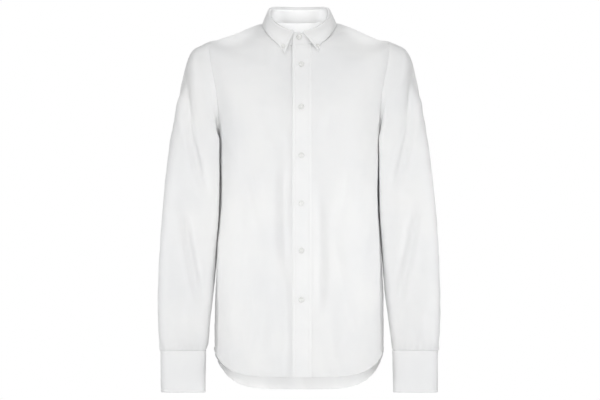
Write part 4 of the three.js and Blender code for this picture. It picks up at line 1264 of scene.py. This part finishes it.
# %% Sewing a button on
def sew_button(node, size, place, facing, lift, twist):
    """The button at a place in mm, looking along facing, lift above the cloth, turned by twist degrees."""
    facing = Vector(facing).normalized()
    at = Vector(place) * MM + facing * lift * MM
    turn = facing.to_track_quat("Z", "Y").to_matrix().to_4x4()
    spot = Matrix.Translation(at) @ (turn @ Matrix.Rotation(math.radians(twist), 4, "Z"))
    shape = discs[size].copy()
    strands = mesh_of(button_thread(*size), node + "_sewn_thread", thread)
    for mesh in (shape, strands):
        mesh.transform(spot)
    strands.shade_smooth()
    piece = add_object(node + "_sewn", shape)
    sewn = add_object(node + "_sewn_thread", strands)
    for made in (piece, sewn):
        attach(made, "root")
    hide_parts(node)


def on_grid(grid, row, column):
    """A point of a grid, and the way it looks."""
    points, ways = grid
    return points[row, column], ways[row, column]


def nearest_on(grid, x, z):
    """The point of a grid that looks nearest to this x and z from the front."""
    points = grid[0]
    off = np.hypot(points[..., 0] - x, points[..., 2] - z) + 1e3 * (points[..., 1] >= 0)
    return on_grid(grid, *np.unravel_index(np.argmin(off), off.shape))


sewn_at = {}
tilt = np.random.default_rng(5)
for number, z in enumerate(BUTTON_HEIGHTS, start=2):
    sewn_at[f"button_{number}"] = nearest_on(band_grid, BAND_MIDDLE, z)
cuff_column = int(np.argmin(np.abs(CUFF_TURNS - CUFF_BUTTON_TURN)))
for side, grid in (("left", cuff_left_grid), ("right", cuff_right_grid)):
    sewn_at[f"cuff_button_{side}"] = on_grid(grid, 22, cuff_column)
stand_column = int(np.argmin(np.abs(stand_turn[0])))
sewn_at["button_1"] = (stand_grid[0][15, stand_column], stand_ways[12, stand_column] + (0, 0, 0.15))
for side, share in (("left", 0.045), ("right", 1.955)):
    column = int(np.argmin(np.abs(leaf_share - share)))
    row = int(np.argmin(np.abs(leaf_away["top"][:, column] - 7)))
    sewn_at[f"collar_button_{side}"] = on_grid(leaf_grid, row, column)
for node, (place, facing) in sewn_at.items():
    on_collar = node.startswith("collar")
    lift = 0.7 if on_collar or node == "button_1" else 0.9
    sew_button(node, SMALL_BUTTON if on_collar else BUTTON, place, facing, lift, float(tilt.uniform(-25, 25)))
print("buttons sewn on:", len(sewn_at))

# %% [markdown]
# ## Stitches
# Every edge of a shirt shows a row of stitches, about three to the centimetre on its long seams, each one a
# short length of thread with its ends pulled into the cloth. They follow lines at a fixed distance from an
# edge. Each stitch is a drawn-out icosphere, which has few faces, because there are thousands of them.

# %% Lines along an edge
def inset_line(grid, edge, distance):
    """The line this far in from one edge of a grid, and the way the cloth faces along it."""
    turned = {
        "bottom": lambda g: g,
        "top": lambda g: g[::-1],
        "left": lambda g: g.swapaxes(0, 1),
        "right": lambda g: g[:, ::-1].swapaxes(0, 1),
    }[edge]
    p, n = (turned(part) for part in grid)
    away = arc(p, 0)
    row = np.clip((away < distance).sum(axis=0) - 1, 0, len(p) - 2)
    column = np.arange(p.shape[1])
    low, high = away[row, column], away[row + 1, column]
    f = np.clip((distance - low) / np.maximum(high - low, 1e-6), 0, 1)[:, None]
    return mix(p[row, column], p[row + 1, column], f), mix(n[row, column], n[row + 1, column], f)


def add_stitch(bm, place, along, facing, length=2.3, width=0.5, height=0.34):
    """One stitch, in mm, lying along a direction on cloth that faces another."""
    along, facing = Vector(along).normalized(), Vector(facing).normalized()
    across = facing.cross(along).normalized()
    facing = along.cross(across)
    turn = Matrix((along * length / 2, across * width / 2, facing * height / 2)).transposed() * MM
    bmesh.ops.create_icosphere(
        bm, subdivisions=1, radius=1, matrix=Matrix.Translation(Vector(place) * MM) @ turn.to_4x4()
    )


def stitch_row(bm, line, facing, start=0, stop=0, pitch=3.1):
    """Stitches along a line, from start mm after its beginning to stop mm before its end."""
    far = arc(line[None], 1)[0]
    for at in np.arange(start + pitch / 2, far[-1] - stop - pitch / 2, pitch):
        ends = [np.array([np.interp(at + d, far, line[:, k]) for k in range(3)]) for d in (-1, 0, 1)]
        look = np.array([np.interp(at, far, facing[:, k]) for k in range(3)])
        add_stitch(bm, ends[1], ends[2] - ends[0], look)


def thread_piece(bm, name):
    """All the stitches of one group as one piece."""
    mesh = mesh_of(bm, name, thread)
    mesh.shade_smooth()
    piece = add_object(name, mesh)
    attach(piece, "root")
    print(f"{name}: {len(mesh.polygons) // 20} stitches")


# %% Stitches on the body
body_thread = bmesh.new()
for grid in (front_left_grid, front_right_grid, back_grid):
    stitch_row(body_thread, *inset_line(grid, "bottom", HEM_STITCH), start=1)
for edge in ("left", "right", "bottom"):
    stitch_row(body_thread, *inset_line(yoke_grid, edge, SEAM_STITCH))
for grid in (front_left_grid, front_right_grid):
    line, facing = inset_line(grid, "right", SEAM_STITCH)
    above_underarm = line[:, 2] > -214
    stitch_row(body_thread, line[above_underarm], facing[above_underarm], start=2)
for edge in ("left", "right"):
    stitch_row(body_thread, *inset_line(back_grid, edge, SEAM_STITCH))
thread_piece(body_thread, "body_stitches")

# %% Stitches on band, cuffs and plackets
band_thread = bmesh.new()
for edge in ("left", "right"):
    stitch_row(band_thread, *inset_line(band_grid, edge, EDGE_STITCH), start=3, stop=1)
thread_piece(band_thread, "band_stitches")

cuff_thread = bmesh.new()
for cuff, placket in ((cuff_left_grid, placket_left_grid), (cuff_right_grid, placket_right_grid)):
    for edge, stop in (("left", 6), ("top", 0), ("bottom", 0)):
        stitch_row(cuff_thread, *inset_line(cuff, edge, EDGE_STITCH), start=6, stop=stop)
    for edge in ("left", "right"):
        stitch_row(cuff_thread, *inset_line(placket, edge, PLACKET_STITCH), start=10, pitch=2.8)
thread_piece(cuff_thread, "cuff_stitches")

# %% Stitches on the collar
collar_thread = bmesh.new()
for edge in ("left", "right"):
    line, facing = inset_line(leaf_grid, edge, EDGE_STITCH)
    stitch_row(collar_thread, line[ROWS_INSIDE_FOLD:], facing[ROWS_INSIDE_FOLD:], stop=6)
stitch_row(collar_thread, *inset_line(leaf_grid, "top", EDGE_STITCH), start=6, stop=6)
stitch_row(collar_thread, *inset_line(stand_grid, "bottom", 2.6), start=2, stop=2)
thread_piece(collar_thread, "collar_stitches")


# %% Buttonholes
def buttonhole(bm, grid, middle, direction, length):
    """Close stitches across both sides of a slit, with a bar at each end."""
    points, ways = grid
    direction = unit(np.array(direction, float))
    slit = np.linspace(-length / 2, length / 2, int(length / 0.6))
    spots = [(t, side, 1.0) for t in slit for side in (-0.75, 0.75)]
    spots += [(end * (length / 2 + 0.3), 0.0, 2.4) for end in (-1, 1)]
    for t, side, reach in spots:
        wanted = middle + direction * t
        row, column = np.unravel_index(np.argmin(np.linalg.norm(points - wanted, axis=-1)), points.shape[:2])
        facing = ways[row, column]
        across = unit(np.cross(facing, direction))
        on_cloth = wanted - facing * ((wanted - points[row, column]) @ facing)
        add_stitch(bm, on_cloth + across * side, across, facing, length=reach, width=0.55, height=0.4)


# A slit lies along the stand, down the band, round a cuff and towards the point of the leaf.
hole_thread = bmesh.new()
for node, (place, facing) in sewn_at.items():
    on_left = place[0] > 0
    if node == "button_1":
        buttonhole(hole_thread, stand_grid, place, (1, 0, 0), 13)
    elif node.startswith("button"):
        buttonhole(hole_thread, band_grid, place, (0, 0, 1), 14.5)
    elif node.startswith("cuff"):
        grid = cuff_left_grid if on_left else cuff_right_grid
        buttonhole(hole_thread, grid, place, np.cross(facing, (0, 0, 1)), 14)
    else:
        point = leaf_grid[0][-1, 0 if on_left else -1]
        buttonhole(hole_thread, leaf_grid, place, point - place, 11)
thread_piece(hole_thread, "buttonhole_stitches")
